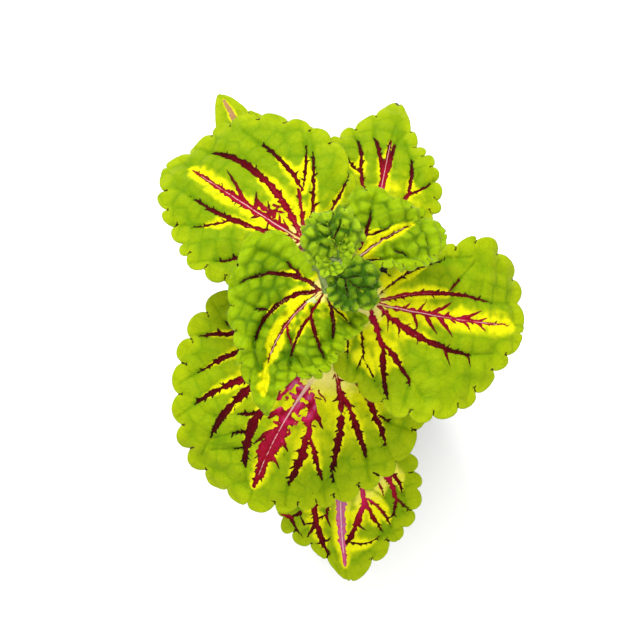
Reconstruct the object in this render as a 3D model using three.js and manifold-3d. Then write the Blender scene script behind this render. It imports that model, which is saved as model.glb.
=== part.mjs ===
// A young coleus in a small plastic nursery pot: pot, soil, square stem and five opposite pairs of leaves.
// Millimetres, +Z up. The origin is the middle of the pot's underside, where it rests.

import * as THREE from 'three';
import { mergeVertices } from 'three/addons/utils/BufferGeometryUtils.js';
import Module from 'manifold-3d';

const wasm = await Module();
wasm.setup();

const gap = 0.3;                    // clearance wherever two separate pieces touch

const pot = {
  height: 66,
  footRadius: 27,                   // outside, at the table
  rimRadius: 38,                    // outside of the rolled rim
  rimDepth: 8,
  rimStep: 1.6,                     // how far the rim stands out from the wall
  wall: 1.6,
  floor: 2.2,
  edge: 0.8,                        // bevels of the foot and the rim
  drainRadius: 3,
  drainCircle: 18.5,
  drains: 8,
  drainSides: 12,
  sides: 36,
};

const soil = {
  level: 57,                        // mean height of its surface
  crown: 2.5,                       // how much it heaps up round the stem
  heap: [[0.8, 0], [0.55, 0.3], [0.3, 0.8]],   // shares of its radius, and of the crown there
  bumps: 0.9,
  bumpTurns: [0.9, 0.7],            // radians a millimetre along X and Y
  rim: 1,                           // a strip along its edge that stays level
  rootDepth: 26,                    // how deep the stem stands in it
};

const stem = {
  top: 142.5,
  footHalf: 2.8,                    // half its width where it stands in the soil
  topHalf: 1.3,
  squareness: 4,                    // exponent of its rounded-square section
  nodes: [76, 95, 113, 129, 138],   // heights of the five leaf pairs
  nodeSwell: 0.55,
  nodeLength: 2.6,
  facing: 15,                       // turn of the square section, degrees
  sides: 16,
  straightTo: 100,                  // above this it leans a little, by lean at the top
  lean: [-1.2, 3.4],
};

// The two scale leaves of the growing tip: small pointed buds side by side.
const bud = { length: 4, width: 2.2, thickness: 1.3, spread: 18, facing: 60, sunk: 1 };

const blade = {
  thickness: 0.8,
  keel: 0.9,                        // raised midrib on the underside
  centreShare: 0.42,                // where the spokes start, along the midrib
  rings: 4,
  perTooth: 3,                      // outline points for each rounded tooth
  toothUneven: 0.35,                // teeth vary in width by about this share
  toothFade: 6,                     // power with which the teeth show towards the edge
  tipFade: 2,                       // how fast the drawn-out tip narrows, for each tooth away from it
};

// The stalk's end runs on under the blade for as far as it is sunk, with this share of its radius below.
const petiole = { radius: 1.15, rise: 50, sides: 7, steps: 9, sunk: 6, below: 0.7 };

// One entry for each leaf. base is where the stalk meets the blade; turn is the compass direction of the
// midrib, anticlockwise from +X; sweep is how far it swings sideways on the way to the tip; pitch is its
// climb at the base and at the tip. left and right are the blade's reach 30, 60, 90, 120 and 150 degrees
// off the tip, measured from the spoke centre. fall is how far each side droops at its widest. wave is the
// edge's height, count and phase; pucker is the height and length of the bumps between the veins.
const leaves = [
  {
    name: 'leaf_1_front', pair: 0, base: [2, -33, 85], turn: -87, sweep: 10, pitch: [-4, -50], length: 54,
    left: [24, 24, 24, 25, 24], right: [21, 22, 20, 21, 22], point: 5, fall: [5, 5],
    teeth: 20, tooth: 2.2, wave: [1.0, 5, 0.4], pucker: [0.3, 13],
  },
  {
    name: 'leaf_1_back', pair: 0, base: [-8.5, 20, 88], turn: 117, sweep: 0, pitch: [4, -30], length: 72,
    left: [22, 24, 26, 27, 27], right: [22, 24, 26, 27, 27], point: 8, fall: [4, 4],
    teeth: 22, tooth: 1.8, wave: [1.0, 5, 2.1], pucker: [0.3, 13],
  },
  {
    name: 'leaf_2_front', pair: 1, base: [-1.6, -13, 107], turn: -120, sweep: 0, pitch: [4, -46], length: 58,
    left: [30, 30, 34, 39, 38], right: [38, 38, 41, 44, 40], point: 0.5, fall: [6, 6],
    teeth: 26, tooth: 2.3, wave: [1.2, 6, 0.9], pucker: [0.4, 14],
  },
  {
    name: 'leaf_2_back', pair: 1, base: [10.3, 20, 111], turn: 79, sweep: 0, pitch: [8, -45], length: 54.5,
    left: [21, 20, 20, 22, 24], right: [16, 15, 17, 21, 24], point: 6, fall: [4, 4],
    teeth: 20, tooth: 1.8, wave: [0.9, 5, 1.2], pucker: [0.3, 13],
  },
  {
    name: 'leaf_3_left', pair: 2, base: [-10.5, 14, 130], turn: 147, sweep: 0, pitch: [4, -42], length: 55,
    left: [25, 22, 24, 26, 26], right: [29, 30, 32, 34, 34], point: 3, fall: [5, 5],
    teeth: 22, tooth: 2.0, wave: [1.2, 5, 0], pucker: [0.4, 14],
  },
  {
    name: 'leaf_3_right', pair: 2, base: [6.5, -4, 124], turn: -7, sweep: 8, pitch: [6, -42], length: 53,
    left: [34, 31, 21, 18, 20], right: [26, 28, 31, 31, 33], point: 2, fall: [4, 5],
    teeth: 22, tooth: 2.0, wave: [1.1, 5, 2.6], pucker: [0.4, 14],
  },
  {
    name: 'leaf_4_front', pair: 3, base: [-4.5, -5, 141], turn: -115, sweep: 55, pitch: [4, -40], length: 42,
    left: [13, 16, 16, 18, 28], right: [15, 13, 18, 30, 23], point: 4, fall: [3, 3],
    teeth: 20, tooth: 1.3, wave: [0.8, 6, 0.6], pucker: [0.6, 9],
  },
  {
    name: 'leaf_4_right', pair: 3, base: [3.5, 4, 140], turn: 20, sweep: -20, pitch: [15, -45], length: 31,
    left: [15, 13, 19, 17, 14], right: [15, 11, 9, 8, 10], point: 1, fall: [2, 2],
    teeth: 16, tooth: 1.2, wave: [0.9, 6, 1.7], pucker: [0.7, 8],
  },
  {
    name: 'leaf_5_left', pair: 4, base: [-0.6, 5.2, 145], turn: 112, sweep: 0, pitch: [62, -45], length: 14,
    left: [8, 8, 9, 9.5, 9], right: [8, 8, 8, 9, 8.5], point: 1, fall: [-2, -2],
    teeth: 14, tooth: 0.8, wave: [0.5, 6, 0], pucker: [0.5, 5],
  },
  {
    name: 'leaf_5_right', pair: 4, base: [-2, -1.2, 145], turn: -38, sweep: -20, pitch: [40, -60],
    length: 17, left: [8, 8, 8, 8, 8], right: [8, 8, 8, 8, 8], point: 1, fall: [1, 1],
    teeth: 14, tooth: 0.8, wave: [0.5, 6, 1.1], pucker: [0.5, 5],
  },
];

const radians = THREE.MathUtils.degToRad;
const up = new THREE.Vector3(0, 0, 1);

function plastic(color) {
  return new THREE.MeshStandardMaterial({ color, roughness: 0.55, metalness: 0 });
}

function living(color) {
  return new THREE.MeshStandardMaterial({ color, roughness: 0.5, metalness: 0, flatShading: true });
}

const materials = {
  pot: plastic(0x2b2622),
  soil: new THREE.MeshStandardMaterial({ color: 0x3a2a1e, roughness: 0.95, metalness: 0 }),
  stem: living(0x93a865),
  leaf: living(0x9dc22a),
  youngLeaf: living(0x7fa52c),
};

// A closed mesh as a solid, its shared corners merged, and back again.
function toSolid(geometry) {
  const bare = new THREE.BufferGeometry();
  bare.setAttribute('position', geometry.getAttribute('position'));
  bare.setIndex(geometry.getIndex());
  const merged = mergeVertices(bare, 1e-4);
  return new wasm.Manifold(new wasm.Mesh({
    numProp: 3,
    vertProperties: merged.getAttribute('position').array,
    triVerts: merged.getIndex().array,
  }));
}

function toGeometry(solid) {
  const mesh = solid.getMesh();
  const geometry = new THREE.BufferGeometry();
  geometry.setAttribute('position', new THREE.BufferAttribute(mesh.vertProperties, 3));
  geometry.setIndex(new THREE.BufferAttribute(mesh.triVerts, 1));
  geometry.computeVertexNormals();
  return geometry;
}

function named(name, geometry, material) {
  const mesh = new THREE.Mesh(geometry, material);
  mesh.name = name;
  return mesh;
}

// A profile of [radius, height] pairs turned about the Z axis.
function turned(profile, sides) {
  const points = profile.map(([radius, height]) => new THREE.Vector2(radius, height));
  return new THREE.LatheGeometry(points, sides).rotateX(Math.PI / 2);
}

// The pot's outer wall, without its rim, leans out evenly from foot to top.
function wallRadius(height) {
  const topRadius = pot.rimRadius - pot.rimStep;
  return THREE.MathUtils.lerp(pot.footRadius, topRadius, height / pot.height);
}

function makePot() {
  const { height, rimRadius, rimDepth, wall, floor, edge } = pot;
  const under = height - rimDepth;
  const body = turned([
    [0, 0],
    [wallRadius(0) - edge, 0],
    [wallRadius(0), edge],
    [wallRadius(under), under],
    [rimRadius, under + edge],
    [rimRadius, height - edge],
    [rimRadius - edge, height],
    [wallRadius(height) - wall, height],
    [wallRadius(floor) - wall, floor],
    [0, floor],
  ], pot.sides);
  let solid = toSolid(body);
  for (let i = 0; i < pot.drains; i += 1) {
    const angle = (i / pot.drains) * 2 * Math.PI;
    const hole = new THREE.CylinderGeometry(pot.drainRadius, pot.drainRadius, 4 * floor, pot.drainSides)
      .rotateX(Math.PI / 2)
      .translate(pot.drainCircle * Math.cos(angle), pot.drainCircle * Math.sin(angle), floor / 2);
    solid = solid.subtract(toSolid(hole));
  }
  return named('pot', toGeometry(solid), materials.pot);
}

function makeSoil() {
  const foot = pot.floor + gap;
  const inside = (height) => wallRadius(height) - pot.wall - gap;
  const hole = stem.footHalf * squared(radians(stem.facing + 45)) + gap;
  const outer = inside(soil.level);
  const heap = soil.heap.map(([share, rise]) => [outer * share, soil.level + rise * soil.crown]);
  const body = turned([
    [0, foot],
    [inside(foot), foot],
    [outer, soil.level],
    ...heap,
    [hole, soil.level + soil.crown],
    [hole, soil.level - soil.rootDepth - gap],
    [0, soil.level - soil.rootDepth - gap],
  ], pot.sides);
  const place = body.getAttribute('position');
  for (let i = 0; i < place.count; i += 1) {
    const radius = Math.hypot(place.getX(i), place.getY(i));
    const onTop = place.getZ(i) > soil.level - soil.rim;
    if (onTop && radius > hole + soil.rim && radius < outer - soil.rim) {
      const [turnX, turnY] = soil.bumpTurns;
      const bump = Math.sin(turnX * place.getX(i)) * Math.cos(turnY * place.getY(i));
      place.setZ(i, place.getZ(i) + soil.bumps * bump);
    }
  }
  return named('soil', toGeometry(toSolid(body)), materials.soil);
}

// Half the stem's width at a height: a taper with a swelling at each leaf pair.
function stemHalf(height) {
  const foot = soil.level - soil.rootDepth;
  const taper = THREE.MathUtils.mapLinear(height, foot, stem.top, stem.footHalf, stem.topHalf);
  const near = stem.nodes.map((node) => Math.exp(-(((height - node) / stem.nodeLength) ** 2)));
  return taper + stem.nodeSwell * Math.max(...near);
}

// How far a rounded square reaches in a direction, against a circle that touches its four sides.
function squared(angle) {
  const off = angle - radians(stem.facing);
  const sum = Math.abs(Math.cos(off)) ** stem.squareness + Math.abs(Math.sin(off)) ** stem.squareness;
  return sum ** (-1 / stem.squareness);
}

// Where the stem's axis stands at a height, as a shift in X and Y.
function stemAxis(height) {
  const share = Math.max(0, (height - stem.straightTo) / (stem.top - stem.straightTo));
  return new THREE.Vector3(stem.lean[0] * share ** 2, stem.lean[1] * share ** 2, height);
}

function makeBud(side) {
  const shape = new THREE.SphereGeometry(1, 8, 8)
    .scale(bud.thickness / 2, bud.width / 2, bud.length / 2)
    .translate(bud.thickness / 2, 0, bud.length / 2)
    .rotateY(radians(bud.spread))
    .rotateZ(radians(bud.facing) + side * Math.PI);
  const foot = stemAxis(stem.top);
  return toSolid(shape.translate(foot.x, foot.y, foot.z - bud.sunk));
}

function makeStem() {
  const foot = soil.level - soil.rootDepth;
  const heights = [foot, soil.level];
  for (const node of stem.nodes) {
    heights.push(node - stem.nodeLength, node, node + stem.nodeLength);
  }
  heights.push(stem.top - bud.sunk);
  const profile = heights.map((height) => [stemHalf(height), height]);
  const body = turned([[0, foot], ...profile, [0, stem.top]], stem.sides);
  const place = body.getAttribute('position');
  for (let i = 0; i < place.count; i += 1) {
    const wider = squared(Math.atan2(place.getY(i), place.getX(i)));
    const axis = stemAxis(place.getZ(i));
    place.setXY(i, axis.x + place.getX(i) * wider, axis.y + place.getY(i) * wider);
  }
  const solid = toSolid(body).add(makeBud(0)).add(makeBud(1));
  return named('stem', toGeometry(solid), materials.stem);
}

// Where a point of the flat blade ends up: x along the midrib, y to its left, lift above its middle layer.
// The midrib is an arc in plan and an arc in side view, and both sides fall away from it.
function onLeaf(leaf, x, y, lift) {
  const bend = radians(leaf.sweep) / leaf.length;
  const start = -radians(leaf.sweep) / 2;
  const heading = start + bend * x;
  let along = x;
  let aside = 0;
  if (bend !== 0) {
    along = (Math.sin(heading) - Math.sin(start)) / bend;
    aside = (Math.cos(start) - Math.cos(heading)) / bend;
  }
  along -= y * Math.sin(heading);
  aside += y * Math.cos(heading);

  const [first, last] = leaf.pitch.map(radians);
  const curl = (last - first) / leaf.length;
  const onArc = Math.max(along, 0);
  const before = Math.min(along, 0);
  const pitch = first + curl * onArc;
  const out = (Math.sin(pitch) - Math.sin(first)) / curl + before * Math.cos(first);
  const high = (Math.cos(first) - Math.cos(pitch)) / curl + before * Math.sin(first);

  const fall = y > 0 ? leaf.fall[0] : leaf.fall[1];
  const widest = Math.max(...leaf.left, ...leaf.right);
  const off = lift - fall * (y / widest) ** 2;
  return new THREE.Vector3(out - off * Math.sin(pitch), aside, high + off * Math.cos(pitch))
    .applyAxisAngle(up, radians(leaf.turn))
    .add(new THREE.Vector3(...leaf.base));
}

// The blade's edge without its teeth, as a closed curve in the blade's own plane that starts at the tip.
function edgeCurve(leaf, centre) {
  const reaches = [
    leaf.length - centre - leaf.point, ...leaf.left, centre, ...[...leaf.right].reverse(),
  ];
  const points = reaches.map((reach, i) => {
    const angle = (i / reaches.length) * 2 * Math.PI;
    return new THREE.Vector3(centre + reach * Math.cos(angle), reach * Math.sin(angle), 0);
  });
  return new THREE.CatmullRomCurve3(points, true, 'catmullrom', 0.5);
}

// The outline's corners: rounded teeth of uneven width all round, and a drawn-out tip.
function edgePoints(leaf, centre) {
  const curve = edgeCurve(leaf, centre);
  const count = leaf.teeth * blade.perTooth;
  const points = [];
  for (let i = 0; i < count; i += 1) {
    const turn = (i / count) * 2 * Math.PI;
    const uneven = (Math.sin(3 * turn) + Math.sin(7 * turn)) / 2;
    const smooth = curve.getPoint(i / count + (blade.toothUneven * uneven) / (leaf.teeth * 2 * Math.PI));
    const lobe = Math.abs(Math.sin((Math.PI * i) / blade.perTooth));
    const fromTip = Math.min(i, count - i) / blade.perTooth;
    const out = leaf.tooth * (lobe - 0.5) + leaf.point * Math.exp(-blade.tipFade * fromTip);
    const away = new THREE.Vector3(smooth.x - centre, smooth.y, 0);
    points.push({ smooth: away, toothed: away.clone().setLength(away.length() + out) });
  }
  return points;
}

// One face of the blade, as rings of points round its centre, at a height above or below the middle layer.
function bladeFace(leaf, centre, edge, lift) {
  const [waveHeight, waves, phase] = leaf.wave;
  const [bump, bumpLength] = leaf.pucker;
  const points = [onLeaf(leaf, centre, 0, lift < 0 ? lift - blade.keel : lift)];
  for (let ring = 1; ring <= blade.rings; ring += 1) {
    const share = ring / blade.rings;
    edge.forEach(({ smooth, toothed }, i) => {
      const away = smooth.clone().lerp(toothed, share ** blade.toothFade).multiplyScalar(share);
      const around = (i / edge.length) * 2 * Math.PI;
      const wave = waveHeight * share ** 2 * Math.sin(waves * around + phase);
      const cell = (2 * Math.PI) / bumpLength;
      const bumps = bump * Math.sin(cell * (away.x + away.y)) * Math.sin(cell * (away.x - away.y));
      const onMidrib = i === 0 || i === edge.length / 2;
      const keel = lift < 0 && onMidrib ? blade.keel * (1 - share) : 0;
      points.push(onLeaf(leaf, centre + away.x, away.y, lift + wave + bumps - keel));
    });
  }
  return points;
}

// Both faces share one triangulation, so that they stay a blade's thickness apart everywhere.
function bladeGeometry(leaf) {
  const centre = blade.centreShare * leaf.length;
  const edge = edgePoints(leaf, centre);
  const top = bladeFace(leaf, centre, edge, blade.thickness / 2);
  const bottom = bladeFace(leaf, centre, edge, -blade.thickness / 2);
  const spokes = edge.length;
  const triangles = [];
  const at = (ring, spoke) => (ring === 0 ? 0 : 1 + (ring - 1) * spokes + (spoke % spokes));
  for (let spoke = 0; spoke < spokes; spoke += 1) {
    for (let ring = 0; ring < blade.rings; ring += 1) {
      const a = at(ring, spoke);
      const b = at(ring + 1, spoke);
      const c = at(ring + 1, spoke + 1);
      triangles.push([a, b, c]);
      if (ring > 0) {
        triangles.push([a, c, at(ring, spoke + 1)]);
      }
    }
  }
  const faces = triangles.flatMap(([a, b, c]) => [a, b, c, top.length + a, top.length + c, top.length + b]);
  for (let spoke = 0; spoke < spokes; spoke += 1) {
    const a = at(blade.rings, spoke);
    const b = at(blade.rings, spoke + 1);
    faces.push(a, top.length + a, top.length + b, a, top.length + b, b);
  }
  const geometry = new THREE.BufferGeometry().setFromPoints([...top, ...bottom]);
  geometry.setIndex(faces);
  return geometry;
}

// The leaf stalk: from the stem's side, up and out, then along the underside of the blade for a little way.
function stalkGeometry(leaf) {
  const node = stem.nodes[leaf.pair];
  const axis = stemAxis(node);
  const side = new THREE.Vector3(leaf.base[0] - axis.x, leaf.base[1] - axis.y, 0).normalize();
  const rise = radians(petiole.rise);
  const surface = stemHalf(node) * squared(Math.atan2(side.y, side.x));
  const start = axis.addScaledVector(side, surface + gap + petiole.radius * Math.sin(rise));
  const end = onLeaf(leaf, petiole.sunk, 0, -petiole.radius * petiole.below);
  const before = onLeaf(leaf, -petiole.sunk, 0, -petiole.radius);
  const reach = start.distanceTo(end) / 3;
  const leaving = side.clone().multiplyScalar(Math.cos(rise)).setZ(Math.sin(rise));
  const path = new THREE.CubicBezierCurve3(start, start.clone().addScaledVector(leaving, reach), before, end);
  const section = new THREE.Shape().absarc(0, 0, petiole.radius, 0, 2 * Math.PI);
  return new THREE.ExtrudeGeometry(section, {
    steps: petiole.steps,
    curveSegments: petiole.sides,
    bevelEnabled: false,
    extrudePath: path,
  });
}

function makeLeaf(leaf) {
  const solid = toSolid(bladeGeometry(leaf)).add(toSolid(stalkGeometry(leaf)));
  const young = leaf.pair === stem.nodes.length - 1;
  return named(leaf.name, toGeometry(solid), young ? materials.youngLeaf : materials.leaf);
}

const coleus = new THREE.Group();
coleus.name = 'coleus';
coleus.add(makePot(), makeSoil(), makeStem(), ...leaves.map(makeLeaf));

export default coleus;
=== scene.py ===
import math

import bmesh
import bpy
import numpy as np
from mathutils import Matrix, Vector


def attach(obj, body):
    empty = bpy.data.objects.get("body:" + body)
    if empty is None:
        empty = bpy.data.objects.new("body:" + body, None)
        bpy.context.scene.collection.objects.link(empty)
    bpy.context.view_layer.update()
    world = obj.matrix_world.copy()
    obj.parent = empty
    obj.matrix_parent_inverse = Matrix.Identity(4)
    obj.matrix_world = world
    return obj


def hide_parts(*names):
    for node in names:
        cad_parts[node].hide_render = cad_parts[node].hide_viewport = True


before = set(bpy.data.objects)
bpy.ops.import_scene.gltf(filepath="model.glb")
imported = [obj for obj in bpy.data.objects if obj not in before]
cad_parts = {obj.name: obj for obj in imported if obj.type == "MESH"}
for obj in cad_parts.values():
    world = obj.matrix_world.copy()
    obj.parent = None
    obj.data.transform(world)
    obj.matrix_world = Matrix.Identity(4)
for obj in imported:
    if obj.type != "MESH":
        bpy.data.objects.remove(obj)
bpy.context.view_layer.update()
mm = 0.001

# where the plant is seen from, and the room round it
view = {
    "target": (-5.5, -6.5, 112),  # mm, a point near the heart of the plant
    "distance": 480, "elevation": 76,
    "lens": 90, "sensor": 36, "nearClip": 0.01,
}

room = {
    "floorSize": 6.0,  # m
    "floorColour": (0.93, 0.93, 0.92), "floorRoughness": 0.9,
    "sky": 0.86,  # strength of the even light from all round
    "lampAim": (0, 0, 0.1),  # m
    "lamps": [  # place m, size m, watts
        ((-0.30, 0.75, 1.0), 0.35, 12.5),
        ((0.0, -0.4, 1.35), 0.7, 8.0),
        ((0.9, -0.6, 0.6), 0.8, 1.0),
    ],
}


def addObject(name, data, material=None):
    if material:
        data.materials.append(material)
    made = bpy.data.objects.new(name, data)
    bpy.context.scene.collection.objects.link(made)
    return made


def makeRoom():
    scene = bpy.context.scene
    camera = addObject("viewCamera", bpy.data.cameras.new("viewCamera"))
    tilt = math.radians(view["elevation"])
    back = Vector((0, -math.cos(tilt), math.sin(tilt)))
    camera.location = (Vector(view["target"]) + back * view["distance"]) * mm
    camera.rotation_euler = (math.pi / 2 - tilt, 0, 0)
    camera.data.lens = view["lens"]
    camera.data.sensor_width = view["sensor"]
    camera.data.clip_start = view["nearClip"]
    scene.camera = camera

    for i, (place, size, watts) in enumerate(room["lamps"]):
        lamp = addObject(f"lamp{i}", bpy.data.lights.new(f"lamp{i}", "AREA"))
        lamp.data.size = size
        lamp.data.energy = watts
        lamp.location = place
        lamp.rotation_euler = (Vector(room["lampAim"]) - lamp.location).to_track_quat("-Z", "Y").to_euler()

    world = bpy.data.worlds.new("softSky")
    scene.world = world
    world.use_nodes = True
    background = world.node_tree.nodes["Background"]
    background.inputs["Color"].default_value = (1, 1, 1, 1)
    background.inputs["Strength"].default_value = room["sky"]
    world.cycles_visibility.glossy = False  # sheen comes from the lamps alone
    scene.view_settings.view_transform = "Standard"

    half = room["floorSize"] / 2
    corners = [(-half, -half, 0), (half, -half, 0), (half, half, 0), (-half, half, 0)]
    mesh = bpy.data.meshes.new("floor")
    mesh.from_pydata(corners, [], [(0, 1, 2, 3)])
    material, g = newMaterial("paleFloor")
    g.surface(g.node("ShaderNodeBsdfPrincipled", {
        "Base Color": room["floorColour"], "Roughness": room["floorRoughness"],
    }))
    floor = addObject("floor", mesh, material)


# both forms of an operator on wires, such as wire - 1 and 1 - wire
def arithmetic(operation):
    def combine(left, right):
        wire = left if isinstance(left, Wire) else right
        return wire.graph.node("ShaderNodeMath", {0: left, 1: right}, operation=operation)

    def combineReflected(right, left):
        return combine(left, right)

    return combine, combineReflected


# one output socket of a node; arithmetic on it adds Math nodes
class Wire:
    __add__, __radd__ = arithmetic("ADD")
    __sub__, __rsub__ = arithmetic("SUBTRACT")
    __mul__, __rmul__ = arithmetic("MULTIPLY")
    __truediv__, __rtruediv__ = arithmetic("DIVIDE")

    def __init__(self, graph, socket):
        self.graph = graph
        self.socket = socket

    def ramp(self, low, high):  # 0 at low, 1 at high, smooth between
        return self.graph.node("ShaderNodeMapRange", {"Value": self, "From Min": low, "From Max": high},
                               interpolation_type="SMOOTHSTEP")


class Graph:
    def __init__(self, tree):
        self.tree = tree
        tree.nodes.clear()

    def join(self, value, socket):
        if isinstance(value, Wire):
            self.tree.links.new(value.socket, socket)
        elif isinstance(value, tuple) and socket.type == "RGBA" and len(value) == 3:
            socket.default_value = (*value, 1)
        else:
            socket.default_value = value

    def node(self, kind, inputs=None, out=0, **settings):
        made = self.tree.nodes.new(kind)
        for key, value in settings.items():
            if key == "stops":
                for i, (place, colour) in enumerate(value):
                    stop = made.color_ramp.elements[i] if i < 2 else made.color_ramp.elements.new(place)
                    stop.position = place
                    stop.color = (*colour, 1)
            else:
                setattr(made, key, value)
        for key, value in (inputs or {}).items():
            self.join(value, made.inputs[key])
        return Wire(self, made.outputs[out]) if len(made.outputs) else None

    def mix(self, share, first, second):
        return self.node("ShaderNodeMix", {0: share, 6: first, 7: second}, out=2, data_type="RGBA")

    def field(self, name):
        return self.node("ShaderNodeAttribute", out="Fac", attribute_name=name)

    def noise(self, where, scale, detail=2.0, roughness=0.5):
        return self.node("ShaderNodeTexNoise",
                         {"Vector": where, "Scale": scale, "Detail": detail, "Roughness": roughness})

    def surface(self, shader):
        self.node("ShaderNodeOutputMaterial", {"Surface": shader})

    def anyNumber(self, low, high, seed):
        return self.node("FunctionNodeRandomValue", {2: low, 3: high, "Seed": seed}, out=1, data_type="FLOAT")

    def anyVector(self, reach, seed):
        return self.node("FunctionNodeRandomValue", {0: tuple(-r for r in reach), 1: reach, "Seed": seed},
                         data_type="FLOAT_VECTOR")

    def scaled(self, vector, size):
        return self.node("ShaderNodeVectorMath", {0: vector, "Scale": size}, operation="SCALE")


def newMaterial(name):
    material = bpy.data.materials.new(name)
    material.use_nodes = True
    return material, Graph(material.node_tree)


# every marking of a leaf is a field on its blade, in mm; the materials add the ragged edges
# deep and bright are the two ends of the green; the cushion field paints shade into the creases with deep and
# light onto the cushion tops with bright, and relief is how strongly it paints them
skins = {
    "leafSkin": {
        "deep": (0.125, 0.245, 0.001), "bright": (0.330, 0.418, 0.002), "relief": 0.42, "dark": 0.26,
        "under": (0.270, 0.400, 0.075), "through": (0.36, 0.50, 0.01), "gloss": 0.42,
    },
    "middleSkin": {
        "deep": (0.045, 0.125, 0.001), "bright": (0.270, 0.405, 0.002), "relief": 0.48, "dark": 0.17,
        "under": (0.220, 0.340, 0.085), "through": (0.30, 0.46, 0.01), "gloss": 0.45,
    },
    "youngSkin": {
        "deep": (0.040, 0.115, 0.003), "bright": (0.290, 0.440, 0.008), "relief": 0.66, "dark": 0.20,
        "under": (0.180, 0.290, 0.070), "through": (0.24, 0.40, 0.01), "gloss": 0.50,
    },
}

leafPaint = {
    "soft": 22.0, "speck": 60.0, "rag": 130.0, "grain": 160.0, "cells": 52.0,  # scales; 1 is 100 mm of blade
    "veinletWidth": 0.09, "veinletShade": 0.12,
    "marginWidth": 6.0,  # mm
    "yellow": (0.76, 0.74, 0.003), "cream": (0.93, 0.80, 0.22), "palePink": (0.78, 0.53, 0.47),
    "paleShare": 0.85, "underShare": 0.62,
    "veins": [  # beige, lilac pink, magenta, crimson, maroon, nearly black
        (0.0, (0.40, 0.22, 0.09)), (0.1, (0.50, 0.15, 0.32)), (0.3, (0.55, 0.010, 0.085)),
        (0.5, (0.27, 0.003, 0.016)), (0.72, (0.100, 0.001, 0.006)), (1.0, (0.020, 0.002, 0.003)),
    ],
    "bump": 0.5, "bumpDepth": 0.00025,
    "specular": 0.035, "shineThrough": 0.10,
}


def leafMaterial(name):
    look, paint = skins[name], leafPaint
    material, g = newMaterial(name)
    flat = g.node("ShaderNodeUVMap", uv_map="flat")
    soft = g.noise(flat, paint["soft"])
    rag = g.noise(flat, paint["rag"], 3.0, 0.6)
    speck = g.noise(flat, paint["speck"], 4.0, 0.6)
    cells = {"Vector": flat, "Scale": paint["cells"]}
    net = g.node("ShaderNodeTexVoronoi", cells, feature="DISTANCE_TO_EDGE")
    veinlet = 1 - net.ramp(0.0, paint["veinletWidth"])
    patch = g.node("ShaderNodeSeparateColor", {"Color": g.node("ShaderNodeTexVoronoi", cells, out="Color")})

    # the green: painted shade in the creases between the cushions and painted light on their tops, lighter
    # towards the edge, then yellow, then cream
    margin = 1 - g.field("rim").ramp(0.0, paint["marginWidth"])
    paintedLightAndTone = g.field("cushionAndShade") * look["relief"] + soft * 0.6 + speck * 0.2 + margin * 0.4
    paintedLightAndTone = (paintedLightAndTone - look["dark"]).ramp(0, 1)
    colour = g.mix(paintedLightAndTone, look["deep"], look["bright"])
    colour = g.mix(veinlet * paint["veinletShade"], colour, look["deep"])
    glow = (g.field("glow") + patch * 0.05 + soft * 0.3 - 0.175).ramp(0.03, 0.75)
    colour = g.mix(glow * (1 - veinlet * paint["veinletShade"]), colour, paint["yellow"])
    colour = g.mix((g.field("cream") + speck * 0.3 - 0.15).ramp(0.3, 0.75) * glow, colour, paint["cream"])

    # the veins over it, and the pale lines down their middles
    inVein = (rag * 0.5 - 0.25 - g.field("vein")).ramp(-0.05, 0.08)
    darker = speck * 0.16 - 0.12 + (g.field("vein") + 0.9).ramp(0, 0.9) * 0.08
    tone = g.node("ShaderNodeValToRGB", {"Fac": g.field("tone") + darker}, stops=paint["veins"])
    colour = g.mix(inVein, colour, tone)
    inPale = (rag * 0.25 - 0.12 - g.field("pale")).ramp(-0.06, 0.08)
    pale = g.mix(g.field("cream").ramp(0.2, 0.8), paint["palePink"], paint["cream"])
    colour = g.mix(inPale * paint["paleShare"], colour, pale)

    under = g.field("under")
    normal = g.node("ShaderNodeBump", {
        "Strength": paint["bump"], "Distance": paint["bumpDepth"],
        "Height": veinlet * (-0.6) + g.noise(flat, paint["grain"], 3.0) * 0.8 + inVein * (-0.25),
    })
    skin = g.node("ShaderNodeBsdfPrincipled", {
        "Base Color": g.mix(under * paint["underShare"], colour, look["under"]),
        "Roughness": look["gloss"] + speck * 0.16 + under * 0.2,
        "Specular IOR Level": paint["specular"],
        "Normal": normal,
    })
    through = g.node("ShaderNodeBsdfTranslucent", {"Color": look["through"]})
    g.surface(g.node("ShaderNodeMixShader", {0: paint["shineThrough"], 1: skin, 2: through}))
    return material


# the plain finishes: name, deep and bright colour, scale of the grain, roughness, and what else differs
finishes = {
    "petiole": ("petioleSkin", (0.30, 0.40, 0.10), (0.60, 0.68, 0.30), 260, 0.45, {"streak": (1, 1, 0.4)}),
    "ridge": ("veinRidge", (0.36, 0.46, 0.16), (0.55, 0.58, 0.26), 300, 0.5, {}),
    "stem": ("stemSkin", (0.16, 0.25, 0.06), (0.42, 0.50, 0.17), 220, 0.45, {"streak": (1, 1, 0.25)}),
    "bud": ("budSkin", (0.05, 0.14, 0.01), (0.17, 0.32, 0.03), 700, 0.55, {}),
    "hair": ("plantHair", (0.36, 0.48, 0.18), (0.58, 0.66, 0.36), 500, 0.4, {"bump": 0.05}),
    "pot": ("potPlastic", (0.013, 0.012, 0.011), (0.021, 0.020, 0.019), 90, 0.34,
            {"bump": 0.12, "depth": 0.2}),
    "soil": ("dampPeat", (0.010, 0.006, 0.004), (0.055, 0.032, 0.018), 420, 0.8,
             {"bump": 0.9, "depth": 0.8}),
    "crumb": ("peatCrumb", (0.014, 0.009, 0.006), (0.075, 0.045, 0.025), 380, 0.85,
              {"bump": 0.8, "depth": 0.4}),
    "bark": ("barkChip", (0.045, 0.022, 0.010), (0.17, 0.085, 0.040), 300, 0.75,
             {"bump": 0.8, "depth": 0.4, "streak": (1, 1, 4)}),
    "perlite": ("perliteGrain", (0.50, 0.48, 0.44), (0.82, 0.81, 0.78), 500, 0.9,
                {"bump": 0.7, "specular": 0.2}),
}


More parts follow.
